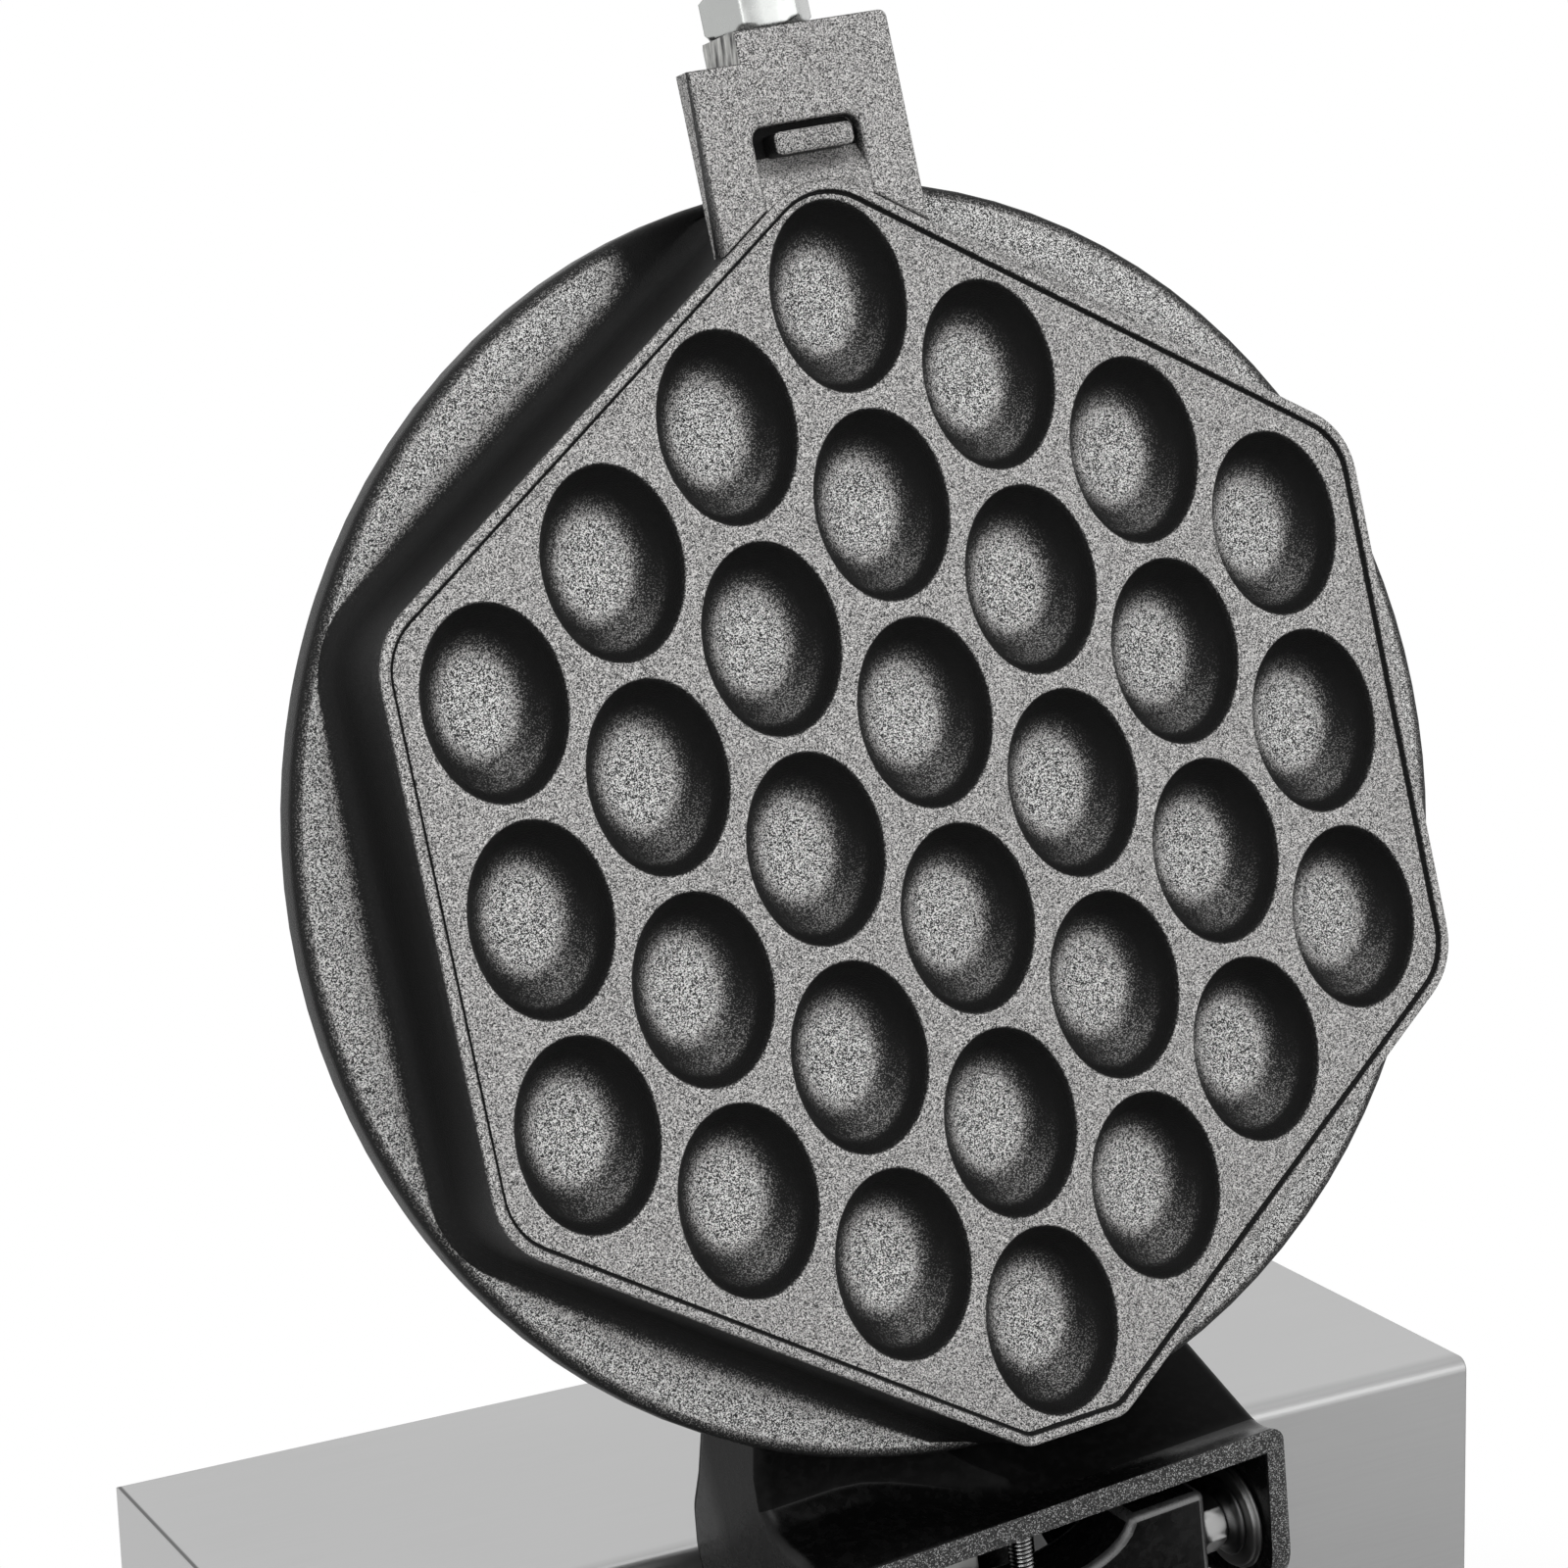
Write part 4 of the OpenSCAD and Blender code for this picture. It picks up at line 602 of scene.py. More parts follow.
def makePlate(name, matrix, body, node, withTab):
    bm = bmesh.new()
    bm.verts.layers.float.new("grain")
    addCells(bm)
    grain = bm.verts.layers.float["grain"]
    rims = [e for e in bm.edges if e.is_boundary]
    loop = [bm.verts.new((p.x, p.y, -plate["fieldDepth"])) for p in plateauLoop(plate["fieldInset"])]
    for v in loop:
        v[grain] = 1.0
    outer = [bm.edges.new((loop[i - 1], loop[i])) for i in range(len(loop))]
    bmesh.ops.triangle_fill(bm, use_beauty=True, edges=rims + outer)
    edges = outer
    index = {v: i for i, v in enumerate(loop)}

    def nextLoop(points, z, g):
        nonlocal edges, index
        made = bmesh.ops.extrude_edge_only(bm, edges=edges)
        near = {v.co.to_tuple(5): i for v, i in index.items()}
        edges, index = raised(made, bmesh.types.BMEdge), {v: near[v.co.to_tuple(5)] for v in raised(made)}
        for v, i in index.items():
            v.co = Vector((points[i].x, points[i].y, z))
            v[grain] = g * (besideNeck(v.co) if z < plate["footZ"] else 1)

    for inset, z, g in lipProfile:
        points = plateauLoop(inset)
        if z <= plate["footZ"]:
            points = [p * min(1, plate["footLimit"] / p.length) for p in points]
        nextLoop(points, z, g)
    start = points
    rim = [p.normalized() * plate["flangeEnd"] for p in start]
    for t, g in flangeGrain:
        nextLoop([p.lerp(q, t) for p, q in zip(start, rim)], plate["flangeTop"], g)
    for r, z, g in discProfile:
        nextLoop([p.normalized() * r for p in start], z, g)
    bmesh.ops.edgeloop_fill(bm, edges=edges)
    bmesh.ops.remove_doubles(bm, verts=bm.verts, dist=0.001)
    bmesh.ops.recalc_face_normals(bm, faces=bm.faces)
    for f in bm.faces:
        f.smooth = not (f.normal.z > 0.9999 and abs(f.calc_center_median().z + plate["fieldDepth"]) < 0.01)
    addNeck(bm, grain, withTab)
    finishPiece(name, bm, matrix, ["coatedPlate", "sawnEnd"], body, [node])


neck = {"half": 20, "reach": 139, "step": 10, "drop": 5.5, "cornerRound": 1.4, "thickness": 20, "edge": 5,
        "backHalf": 10.2, "shoulder": 12.6, "bossHalf": 6.5, "groove": 0.15, "pocketHalf": 10.5,
        "pocketTop": 122.3, "pocketRound": 2.4, "pocketFloor": -3.4, "wedge": (0.9, 1.3), "wedgeGrows": 3.2,
        "wedgeRun": 22, "edgeRound": 0.7, "sill": (0.6, 112.8, -0.45), "innerInset": 1.5,
        "tab": ((-7.2, 8.0), (116.9, 120.9), (-4.4, 2)),
        "ramp": [(112, -0.46), (112.7, -0.46), (113.8, -0.9), (116.2, -2.8), (117.2, -3.3), (117.2, -5),
                 (112, -5)]}


def arcPoints(cx, cy, r, a0, a1, steps=5):
    return [Vector((cx + r * math.cos(math.radians(a0 + (a1 - a0) * k / steps)),
                    cy + r * math.sin(math.radians(a0 + (a1 - a0) * k / steps)))) for k in range(steps + 1)]


def atX(line, x):  # the point of a falling line of points at this x
    for a, b in zip(line, line[1:]):
        if a.x >= x >= b.x:
            return a.lerp(b, (a.x - x) / max(1e-9, a.x - b.x))


def upperSide(inset):
    return sorted((p for p in plateauLoop(inset) if p.y > 0), key=lambda p: -p.x)


def raiseFace(bm, outline, z):
    verts = [bm.verts.new((q.x, q.y, z)) for q in outline]
    face = bm.faces.new(verts)
    if face.normal.z < 0:
        face.normal_flip()
    return face


def extrudeDown(bm, face, z, move=None):  # pushes a face back to z; gives the new face
    made = bmesh.ops.extrude_face_region(bm, geom=[face])
    for v in raised(made):
        v.co.z = z
        if move:
            v.co = move(v.co)
    return raised(made, bmesh.types.BMFace)[0]


def squeeze(q, half):  # draws a point in to this half width
    return Vector((max(-half, min(half, q.x)), q.y, q.z))


def addNeck(bm, grain, withTab):
    w, p, r, c = neck["half"], neck["pocketHalf"], neck["pocketRound"], neck["cornerRound"]
    old = set(bm.verts)
    line = upperSide(-neck["groove"])
    outline = [atX(line, w)] + [q for q in line if p + 0.3 < q.x < w - 0.3] + [atX(line, p)]
    outline += arcPoints(p - r, neck["pocketTop"] - r, r, 0, 90)
    outline += arcPoints(r - p, neck["pocketTop"] - r, r, 90, 180)
    outline += [atX(line, -p)] + [q for q in line if -w + 0.3 < q.x < -p - 0.3] + [atX(line, -w)]
    root = neck["reach"] - neck["drop"]
    outline += [Vector((-w, root)), Vector((neck["step"] - w, root)), Vector((neck["step"] - w, neck["reach"]))]
    outline += arcPoints(w - c, neck["reach"] - c, c, 90, 0)
    top = raiseFace(bm, outline, 0)
    rim = list(top.edges)
    low, levels = top, []
    for start in neck["wedge"]:  # the side's dark strip, a wedge that grows towards the plate
        low = extrudeDown(bm, low, 0, lambda q: Vector((
            q.x, q.y, -start - neck["wedgeGrows"] * min(1, max(0, (root - q.y) / neck["wedgeRun"])))))
        levels.append(set(low.verts))
    low = extrudeDown(bm, low, -neck["edge"])
    dark, pale = levels[0], levels[1] | set(low.verts)
    narrow = neck["backHalf"]
    extrudeDown(bm, extrudeDown(bm, low, -neck["shoulder"], lambda q: squeeze(q, narrow)), -neck["thickness"],
                lambda q: squeeze(q, neck["bossHalf"]))
    new = newVerts(bm, old)
    faces = {f for v in new for f in v.link_faces}
    facesOut(bm, new)
    for v in new:
        v[grain] = 1.0 if v.co.z > -0.1 and v not in dark or v in pale else 0.0
    for f in faces:
        m = f.calc_center_median()
        if f.normal.x < -0.9 and m.y > root and m.x > -w + 4:
            f.material_index = 1
    for f in soften(bm, rim, neck["edgeRound"], 3)["faces"]:
        f.smooth = True
    # floor of the groove and the pocket, and the neck's root behind it
    half = w - 0.1
    inner = upperSide(neck["innerInset"])
    floor = [atX(inner, half)] + [q for q in inner if -half < q.x < half] + [atX(inner, -half)]
    floor += [Vector((-half, neck["pocketTop"] + 0.5)), Vector((half, neck["pocketTop"] + 0.5))]
    low = extrudeDown(bm, raiseFace(bm, floor, neck["pocketFloor"]), -neck["edge"])
    low = extrudeDown(bm, low, -neck["shoulder"] + 0.1, lambda q: squeeze(q, narrow - 0.1))
    extrudeDown(bm, low, -neck["thickness"] + 0.2, lambda q: squeeze(q, neck["bossHalf"] - 0.1))
    before = set(bm.verts)
    inset, end, z = neck["sill"]
    sill = upperSide(inset)
    sill = ([atX(sill, p)] + [q for q in sill if -p < q.x < p] + [atX(sill, -p)]
            + [Vector((-p, end)), Vector((p, end))])
    extrudeDown(bm, raiseFace(bm, sill, z), -neck["edge"])
    addPrism(bm, neck["ramp"], p, 0.08, 2)
    for v in newVerts(bm, before):
        v[grain] = 1.0
    if withTab:
        addBlock(bm, grain, *neck["tab"], 1.1, 0.9)


def addBlock(bm, grain, x, y, z, roundness, share):  # a rounded block with grain on its top
    made = bmesh.ops.create_cube(bm, size=1)["verts"]
    for v in made:
        v.co = Vector((x[0] + (x[1] - x[0]) * (v.co.x + 0.5), y[0] + (y[1] - y[0]) * (v.co.y + 0.5),
                       z[0] + (z[1] - z[0]) * (v.co.z + 0.5)))
        v[grain] = 0.0
    rounded = soften(bm, edgesOf(made), roundness, 4, clamp=False)
    for f in rounded["faces"]:
        f.smooth = True
    for v in {v for f in rounded["faces"] for v in f.verts}:
        v[grain] = share if v.co.z > z[1] - roundness * 0.8 else 0.0


makePlate("lidPlate", inLid, "lid", "upper_plate", True)
makePlate("bottomPlate", inLower, "rotor", "lower_plate", False)
print("cooking plates ready")


# turned, hexagonal and bent shapes
def settle(bm, before, where):  # closes the seams of a fresh shape, turns its faces out and puts it in place
    bmesh.ops.remove_doubles(bm, verts=newVerts(bm, before), dist=0.0005)
    facesOut(bm, newVerts(bm, before))
    bmesh.ops.transform(bm, matrix=where, verts=newVerts(bm, before))


def addTurned(bm, profile, where, steps=48):  # profile of radius and height, spun round z
    before = set(bm.verts)
    points = [bm.verts.new((r, 0, z)) for r, z in profile]
    edges = [bm.edges.new(pair) for pair in zip(points, points[1:])]
    bmesh.ops.spin(bm, geom=points + edges, cent=(0, 0, 0), axis=(0, 0, 1), angle=math.tau, steps=steps,
                   use_merge=True)
    settle(bm, before, where)


def hexRadius(flats, angle):
    return flats / 2 / math.cos((angle + math.pi / 6) % (math.pi / 3) - math.pi / 6)


def addNut(bm, flats, height, bore, where, chamfer=0.9):  # hexagon with turned corners
    before = set(bm.verts)
    edges = edgesOf(bmesh.ops.create_circle(bm, segments=48, radius=bore)["verts"])
    levels = [(0, flats * 0.475), (chamfer * 0.35, flats * 0.515), (chamfer, flats), (height - chamfer, flats),
              (height - chamfer * 0.35, flats * 0.515), (height, flats * 0.475), (height, bore), (0, bore)]
    for z, limit in levels:
        edges = extrudeLoop(bm, edges, lambda q: shapeRing(q, flats, limit, z))
    settle(bm, before, where)


def shapeRing(q, flats, limit, z):
    angle = math.atan2(q.y, q.x)
    r = min(limit, hexRadius(flats, angle)) if limit > flats * 0.3 else limit
    return Vector((r * math.cos(angle), r * math.sin(angle), z))


def addThread(bm, radius, depth, pitch, low, high, where):  # one pitch of the profile, wound up the screw
    before = set(bm.verts)
    rows = 28
    points = [bm.verts.new((r, 0, low + z)) for r, z in ((radius - depth, 0), (radius, pitch * 0.42),
                                                         (radius, pitch * 0.58), (radius - depth, pitch))]
    edges = [bm.edges.new(pair) for pair in zip(points, points[1:])]
    turns = int((high - low) / pitch)
    bmesh.ops.spin(bm, geom=points + edges, cent=(0, 0, 0), axis=(0, 0, 1), angle=math.tau * turns,
                   steps=turns * rows, dvec=(0, 0, pitch / rows))
    settle(bm, before, where)
    addTurned(bm, [(0, low), (radius - depth, low), (radius - depth, low + turns * pitch + pitch * 0.5),
                   (radius - depth * 1.6, low + turns * pitch + pitch), (0, low + turns * pitch + pitch)],
              where, rows)


def makeTurned(name, shapes, matrix, finish, body, node, smooth=35):
    bm = bmesh.new()
    for profile, where in shapes:
        addTurned(bm, profile, where)
    finishPiece(name, bm, matrix, finish, body, [node], smooth)


def boxOf(node):  # a node's box in millimetres
    lo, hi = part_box(node)
    return [v / mm for v in lo], [v / mm for v in hi]


# handles: smoothly bent rods, turned grips and chamfered nuts
handle = {"rodRadius": 5, "rodZ": -10, "offset": 9, "neckEnd": 139, "nut": 8, "straight": 14, "step": 24,
          "bendRadius": 16, "seat": 25.9, "gripLength": 117.2, "gripRadius": 13.5, "nutFlats": 17,
          "nutTurn": 19, "inGrip": 70}
# shares of the grip's length and radius
gripShape = [(0.0, 0.0), (0.0, 0.60), (0.006, 0.665), (0.018, 0.70), (0.035, 0.722), (0.052, 0.732),
             (0.056, 0.705), (0.064, 0.705), (0.068, 0.738), (0.09, 0.745), (0.12, 0.765), (0.16, 0.81),
             (0.2, 0.86), (0.26, 0.915), (0.33, 0.958), (0.4, 0.985), (0.5, 1.0), (0.58, 0.998),
             (0.66, 0.985), (0.74, 0.962), (0.8, 0.938), (0.86, 0.903), (0.9, 0.868), (0.93, 0.83),
             (0.955, 0.775), (0.972, 0.71), (0.984, 0.62), (0.992, 0.5), (0.997, 0.33), (1.0, 0.0)]


def rodPath():  # places and slopes along the rod, in the plate's own frame
    h = handle
    bend = h["neckEnd"] + h["nut"] + h["straight"]
    corners = [(h["neckEnd"] - h["seat"], h["rodZ"]), (bend, h["rodZ"]),
               (bend + h["step"], h["rodZ"] - h["offset"]),
               (bend + h["step"] + h["inGrip"], h["rodZ"] - h["offset"])]
    slope = math.atan2(-h["offset"], h["step"])
    run = h["bendRadius"] * math.tan(abs(slope) / 2)
    path = [(corners[0][0], corners[0][1], 0.0)]
    for i, (a, b) in enumerate(((0.0, slope), (slope, 0.0))):
        y, z = corners[i + 1]
        startY, startZ = y - run * math.cos(a), z - run * math.sin(a)
        sign = 1 if b > a else -1
        cy, cz = startY - sign * h["bendRadius"] * math.sin(a), startZ + sign * h["bendRadius"] * math.cos(a)
        for k in range(9):
            t = a + (b - a) * k / 8
            path.append((cy + sign * h["bendRadius"] * math.sin(t),
                         cz - sign * h["bendRadius"] * math.cos(t), t))
    path.append((corners[3][0], corners[3][1], 0.0))
    return path


def makeHandle(prefix, matrix, body, rodNode, gripNode, nutNode):
    bm = bmesh.new()
    h = handle
    start = bmesh.ops.create_circle(bm, segments=32, radius=h["rodRadius"])["verts"]
    places = [shift(0, y, z) @ turn(math.degrees(t) - 90, "X") for y, z, t in rodPath()]
    bmesh.ops.transform(bm, matrix=places[0], verts=start)
    edges = list(bm.edges)
    bmesh.ops.edgeloop_fill(bm, edges=edges)
    for a, b in zip(places, places[1:]):
        move = b @ a.inverted()
        edges = extrudeLoop(bm, edges, lambda q: move @ q)
    bmesh.ops.edgeloop_fill(bm, edges=edges)
    bmesh.ops.recalc_face_normals(bm, faces=bm.faces)
    finishPiece(prefix + "Rod", bm, matrix, "rodSteel", body, [rodNode], 40)
    gripStart = h["neckEnd"] + h["nut"] + h["straight"] + h["step"] + h["rodRadius"]
    bm = bmesh.new()
    addTurned(bm, [(r * h["gripRadius"], t * h["gripLength"]) for t, r in gripShape], Matrix(), 56)
    own = bm.verts.layers.float_vector.new("turned")
    for v in bm.verts:
        v[own] = v.co * mm
    bmesh.ops.transform(bm, matrix=shift(0, gripStart, h["rodZ"] - h["offset"]) @ turn(-90, "X"),
                        verts=bm.verts)
    finishPiece(prefix + "Grip", bm, matrix, "beech", body, [gripNode], 50)
    bm = bmesh.new()
    addNut(bm, h["nutFlats"], h["nut"], h["rodRadius"] + 0.05,
           shift(0, h["neckEnd"] + 0.1, h["rodZ"]) @ turn(h["nutTurn"], "Y") @ turn(-90, "X"), 1.3)
    finishPiece(prefix + "Nut", bm, matrix, "zinc", body, [nutNode], 25)


makeHandle("lid", inLid, "lid", "upper_handle_rod", "upper_grip", "upper_jam_nut")
makeHandle("bottom", inLower, "rotor", "lower_handle_rod", "lower_grip", "lower_jam_nut")
print("handles ready")

# hinge: nuts, washers, bolts and the stop screw
hinge = {"lugX": 35.1, "nut": (10, 5), "cup": (5.0, 7.5, 2.2), "washer": (10.5, 1.7), "stackX": 44.3,
         "hoodHalf": 48.6, "bolt": 3, "head": (10, 4), "stopY": 146.4, "stopRadius": 2.5, "stopFoot": 9.6,
         "stopTip": 48.4, "spotZ": 28.4, "locknut": (8, 4), "pitch": 0.8, "threadDepth": 0.42, "nutTurn": 12,
         "hidden": 15}
onPin = inRotor @ shift(0, place["pinY"], place["pinRise"])


def bothSides(x):
    return [shift(side * x, 0, 0) @ turn(side * 90, "Y") for side in (-1, 1)]


def makeHinge():
    h = hinge
    bolt, bore, lug = h["bolt"], h["bolt"] + 0.05, h["lugX"]
    bm = bmesh.new()
    for where in bothSides(lug + 0.1):
        addNut(bm, *h["nut"], bore, where @ turn(h["nutTurn"], "Z"))
    # the pivot nuts, like the flat washers, take the zinc painted darker as shade
    finishPiece("pivotNuts", bm, onPin, "pivotZinc", "rotor", ["pivot_nuts"], 25)
    small, large, thick = h["cup"]
    cupShape = [(bore, 0), (small - 0.3, 0), (small, 0.2), (small + 0.5, 0.9), (large - 1.2, 1.3),
                (large - 0.3, 1.5), (large, thick - 0.4), (large - 0.2, thick), (bore, thick), (bore, 0)]
    makeTurned("cupWashers", [(cupShape, where) for where in bothSides(lug + h["nut"][1] + 0.2)], onPin,
               "darkSteel", "rotor", "cup_washers")
    r, t = h["washer"]
    flat = [(bore, 0), (r - 0.9, 0), (r - 0.65, 0.15), (r - 0.6, 0.62), (r - 0.75, 0.75), (r - 0.25, 0.8),
            (r, 1.0), (r, t - 0.25), (r - 0.2, t), (bore, t), (bore, 0)]
    makeTurned("flatWashers", [(flat, where) for where in bothSides(h["stackX"] - t)], onPin, "pivotZinc",
               "rotor", "flat_washers")
    bm = bmesh.new()
    length = h["hoodHalf"] + 0.3 - lug + h["hidden"]
    flats, headHeight = h["head"]
    for where in bothSides(lug - h["hidden"]):
        addTurned(bm, [(0, 0), (bolt, 0), (bolt, length), (0, length)], where, 32)
        addNut(bm, flats, headHeight, 0.4, where @ shift(0, 0, length), 0.7)
        addTurned(bm, [(0, length), (0.5, length), (0.5, length + headHeight), (0, length + headHeight)],
                  where, 16)
    finishPiece("pivotBolts", bm, onPin, "zinc", "rotor", ["pivot_bolts"], 25)
    bm = bmesh.new()
    r, depth = h["stopRadius"], h["threadDepth"]
    crest = bm.verts.layers.float.new("crest")  # 1 on the crest of the thread, 0 in its valley
    addThread(bm, r, depth, h["pitch"], h["stopFoot"], h["stopTip"] - 1.0, shift(0, -h["stopY"], 0))
    for v in bm.verts:
        v[crest] = 1 - (r - math.hypot(v.co.x, v.co.y + h["stopY"])) / depth
    finishPiece("stopStud", bm, inLower, "stud", "rotor", ["stop_screw"], 50)
    bm = bmesh.new()
    addNut(bm, *h["locknut"], r + 0.05, shift(0, -h["stopY"], h["spotZ"] + 0.1), 0.7)
    finishPiece("stopNut", bm, inLower, "zinc", "rotor", ["stop_locknut"], 25)


makeHinge()
print("hinge ready")


# housings: round cups, the hood round the hinge, and the lugs
hood = {"half": 48.6, "wall": 4, "top": 126.2, "rim": 13.5, "fillet": 11, "slantStart": 20, "slant": 34.4,
        "back": 67, "backEnd": 137, "end": 157, "endRound": 9, "lean": 7, "roomTip": 52, "round": 2.3,
        "riserRoot": 85, "riserFront": 28.5, "backCut": 18.6, "deepFrom": 7,
        "swellRound": 9, "columns": [-40, -34, -29, -24, -19, -14, -9, -4, 1, 5, 25],
        "leftWall": [(-126.2, -13.5), (-124.9, -14.8), (-123.2, -17.4), (-122.2, -21), (-121.0, -25.3),
                     (-118.7, -29.2), (-115.2, -31), (-110, -30.5), (-101.2, -26.3)], "leftEnds": (-34, 4)}
cup = {"radius": 97, "front": -25.2, "depth": 22, "flange": 109, "flangeThick": 3, "round": 3}
lug = {"half": 35.1, "front": 137.9, "back": 152.2, "foot": 8, "base": -3, "top": 40.6, "valley": 18.8,
       "valleyDepth": 8, "round": 3, "chamfer": 8, "rampTop": 113.6, "rampFoot": 121.5}
hub = {"radius": 18, "start": 147, "end": 184.4, "height": 0.2, "bore": 11.2, "boreDepth": 22, "saddle": 17.2,
       "collar": 25, "collarThick": 1.6}


def wallY(depth):  # outer face of the hood's slanted wall, at a depth
    return -hood["top"] + (depth - hood["slantStart"]) * math.tan(math.radians(hood["slant"]))


def hoodPath():  # outer wall from the rim, round behind the plate, to the end of the back
    h, back = hood, cup["depth"] - cup["front"]
    front = [(-h["top"], -h["rim"]), (-h["top"], -h["rim"] - 2)]
    front += cornerArc(front[0], (-h["top"], -h["slantStart"]), (wallY(back), -back), h["fillet"], 6)
    swell = [(-h["riserRoot"], -back), (-cup["radius"], -back - 3), (-h["top"] + 15, -h["back"] + 8),
             (-h["top"] + 8, -h["back"] + 2.5), (-h["top"], -h["back"]), (-h["backEnd"], -h["back"])]
    soft = swell[:2]
    for i in (2, 3, 4):
        soft += cornerArc(swell[i - 1], swell[i], swell[i + 1], h["swellRound"], 3)
    return [Vector(q) for q in front + [(wallY(back), -back)] + soft + [swell[5]]]


def inwards(path):  # for each point, the step that keeps an even distance inside the path
    steps = []
    for i, q in enumerate(path):
        before = (q - path[i - 1]).normalized() if i else (path[1] - q).normalized()
        after = (path[i + 1] - q).normalized() if i + 1 < len(path) else before
        n1, n2 = Vector((before.y, -before.x)), Vector((after.y, -after.x))
        middle = (n1 + n2).normalized()
        steps.append(middle / max(0.5, middle.dot(n1)))
    sign = -1 if steps[0].x > 0 else 1
    return [q * sign for q in steps]


def roundedEdge(x):  # how far a rounded side edge has drawn in, at this x
    past = abs(x) - (hood["half"] - hood["round"])
    return hood["round"] - math.sqrt(max(0, hood["round"] ** 2 - past ** 2)) if past > 0 else 0.0


def makeHood():
    h = hood
    path = hoodPath()
    leftPath = [Vector(q) for q in h["leftWall"]]
    leftPath += [Vector((leftPath[-1].x + 2, path[len(leftPath)].y))] + path[len(leftPath) + 1:]
    steps, leftSteps = inwards(path), inwards(leftPath)

    def wallPoint(i, x):  # steep behind the plate on the left, slanted on the right
        t = max(0.0, min(1.0, (x - h["leftEnds"][0]) / (h["leftEnds"][1] - h["leftEnds"][0])))
        left, right = leftPath[i] + leftSteps[i] * roundedEdge(x), path[i] + steps[i] * roundedEdge(x)
        return Vector((x, *left.lerp(right, t * t * (3 - 2 * t))))
    xs = [-h["half"] + h["round"] * (1 - math.cos(math.radians(90 * k / 5))) for k in range(6)]
    xs += h["columns"] + [-x for x in xs[::-1]]
    bm = bmesh.new()
    row = [bm.verts.new(wallPoint(0, x)) for x in xs]
    edges = [bm.edges.new(pair) for pair in zip(row, row[1:])]
    firstEdges = list(edges)
    ends = {1: [row[-1]], -1: [row[0]]}
    for i in range(1, len(path)):
        edges = extrudeLoop(bm, edges, lambda c: wallPoint(i, c.x))
        for f in {f for e in edges for f in e.link_faces}:
            f.material_index = 2 if i >= h["deepFrom"] else 0
        for side in (1, -1):
            ends[side].append(max((v for e in edges for v in e.verts), key=lambda v: side * v.co.x))
    lastEdges = list(edges)
    low = (-h["end"], -h["rim"] - h["lean"])
    turnPoint = (-h["end"], -2 * place["pinBack"] + h["rim"])
    outline = cornerArc((-h["backEnd"], -h["back"]), turnPoint, low, h["endRound"], 6)
    outline += cornerArc((-h["end"], -60), low, (-h["top"], -h["rim"]), h["endRound"], 6)
    boundary = firstEdges + lastEdges
    for side in (1, -1):
        extra = [bm.verts.new((side * h["half"], *q)) for q in outline]
        bm.faces.new(ends[side] + extra)
        chain = [ends[side][-1]] + extra + [ends[side][0]]
        boundary += [bm.edges.get(pair) for pair in zip(chain, chain[1:])]
    inner, wallX = -h["top"] - h["wall"], h["half"] - h["wall"]

    def clamp(c):
        return Vector((max(-wallX, min(wallX, c.x)), min(c.y, inner), max(c.z, -h["back"] + h["wall"])))
    before = set(bm.faces)
    band = extrudeLoop(bm, boundary, clamp)
    for f in bm.faces:
        if f not in before:
            f.material_index = 1
    slant = math.radians(h["slant"])
    stations = [(inner, -h["slantStart"] - h["wall"] * math.tan(slant / 2)),
                (wallY(h["roomTip"]) - h["wall"] / math.cos(slant), -h["roomTip"]),
                (-h["top"], -h["back"] + h["wall"] + 1.2), (-h["backEnd"], -h["back"] + h["wall"])]
    edges = [e for e in band if all(abs(v.co.y - inner) < 0.01 and v.co.z > -20 for v in e.verts)]
    for q in stations:
        edges = extrudeLoop(bm, edges, lambda c: Vector((c.x, *q)))
        for e in edges:
            for f in e.link_faces:
                f.material_index = 0
    bmesh.ops.remove_doubles(bm, verts=bm.verts, dist=0.01)
    bmesh.ops.dissolve_degenerate(bm, dist=0.005, edges=bm.edges)
    bmesh.ops.edgeloop_fill(bm, edges=[e for e in bm.edges if e.is_boundary])
    bmesh.ops.recalc_face_normals(bm, faces=bm.faces)
    addTurned(bm, cupProfile(), Matrix(), 96)
    # the slanted end of the back wall, beside the cut for the hub
    slope = [(-h["backEnd"] - 0.4, -h["back"] + 0.4), (turnPoint[0] + 0.4, turnPoint[1] - 0.4),
             (turnPoint[0] + 2.6, turnPoint[1] + 1.7), (-h["backEnd"] + 1.6, -h["back"] + 2.4)]
    before = set(bm.verts)
    addPrism(bm, slope, (wallX + 1 - h["backCut"]) / 2, 0.6, 2)
    bmesh.ops.translate(bm, vec=((wallX + 1 + h["backCut"]) / 2, 0, 0), verts=newVerts(bm, before))
    finishPiece("lidHousing", bm, inLid, ["blackCasting", "rimCasting", "deepCasting"], "lid",
                ["upper_housing"], 32)


def cupProfile():
    c = cup
    back, front, r = c["front"] - c["depth"], c["front"], c["radius"]
    corner = [(r - c["round"] + c["round"] * math.sin(t), back + c["round"] - c["round"] * math.cos(t))
              for t in (0, 0.39, 0.79, 1.18, math.pi / 2)]
    foot = front - c["flangeThick"]
    end = c["flange"]
    return [(0, back), (r * 0.55, back)] + corner + [
        (r, foot - 2), (r + 0.6, foot - 0.6), (r + 2, foot), (end - 0.6, foot), (end, foot + 0.6), (end, front),
        (r - 3, front), (r - 3, back + 3), (0, back + 3)]


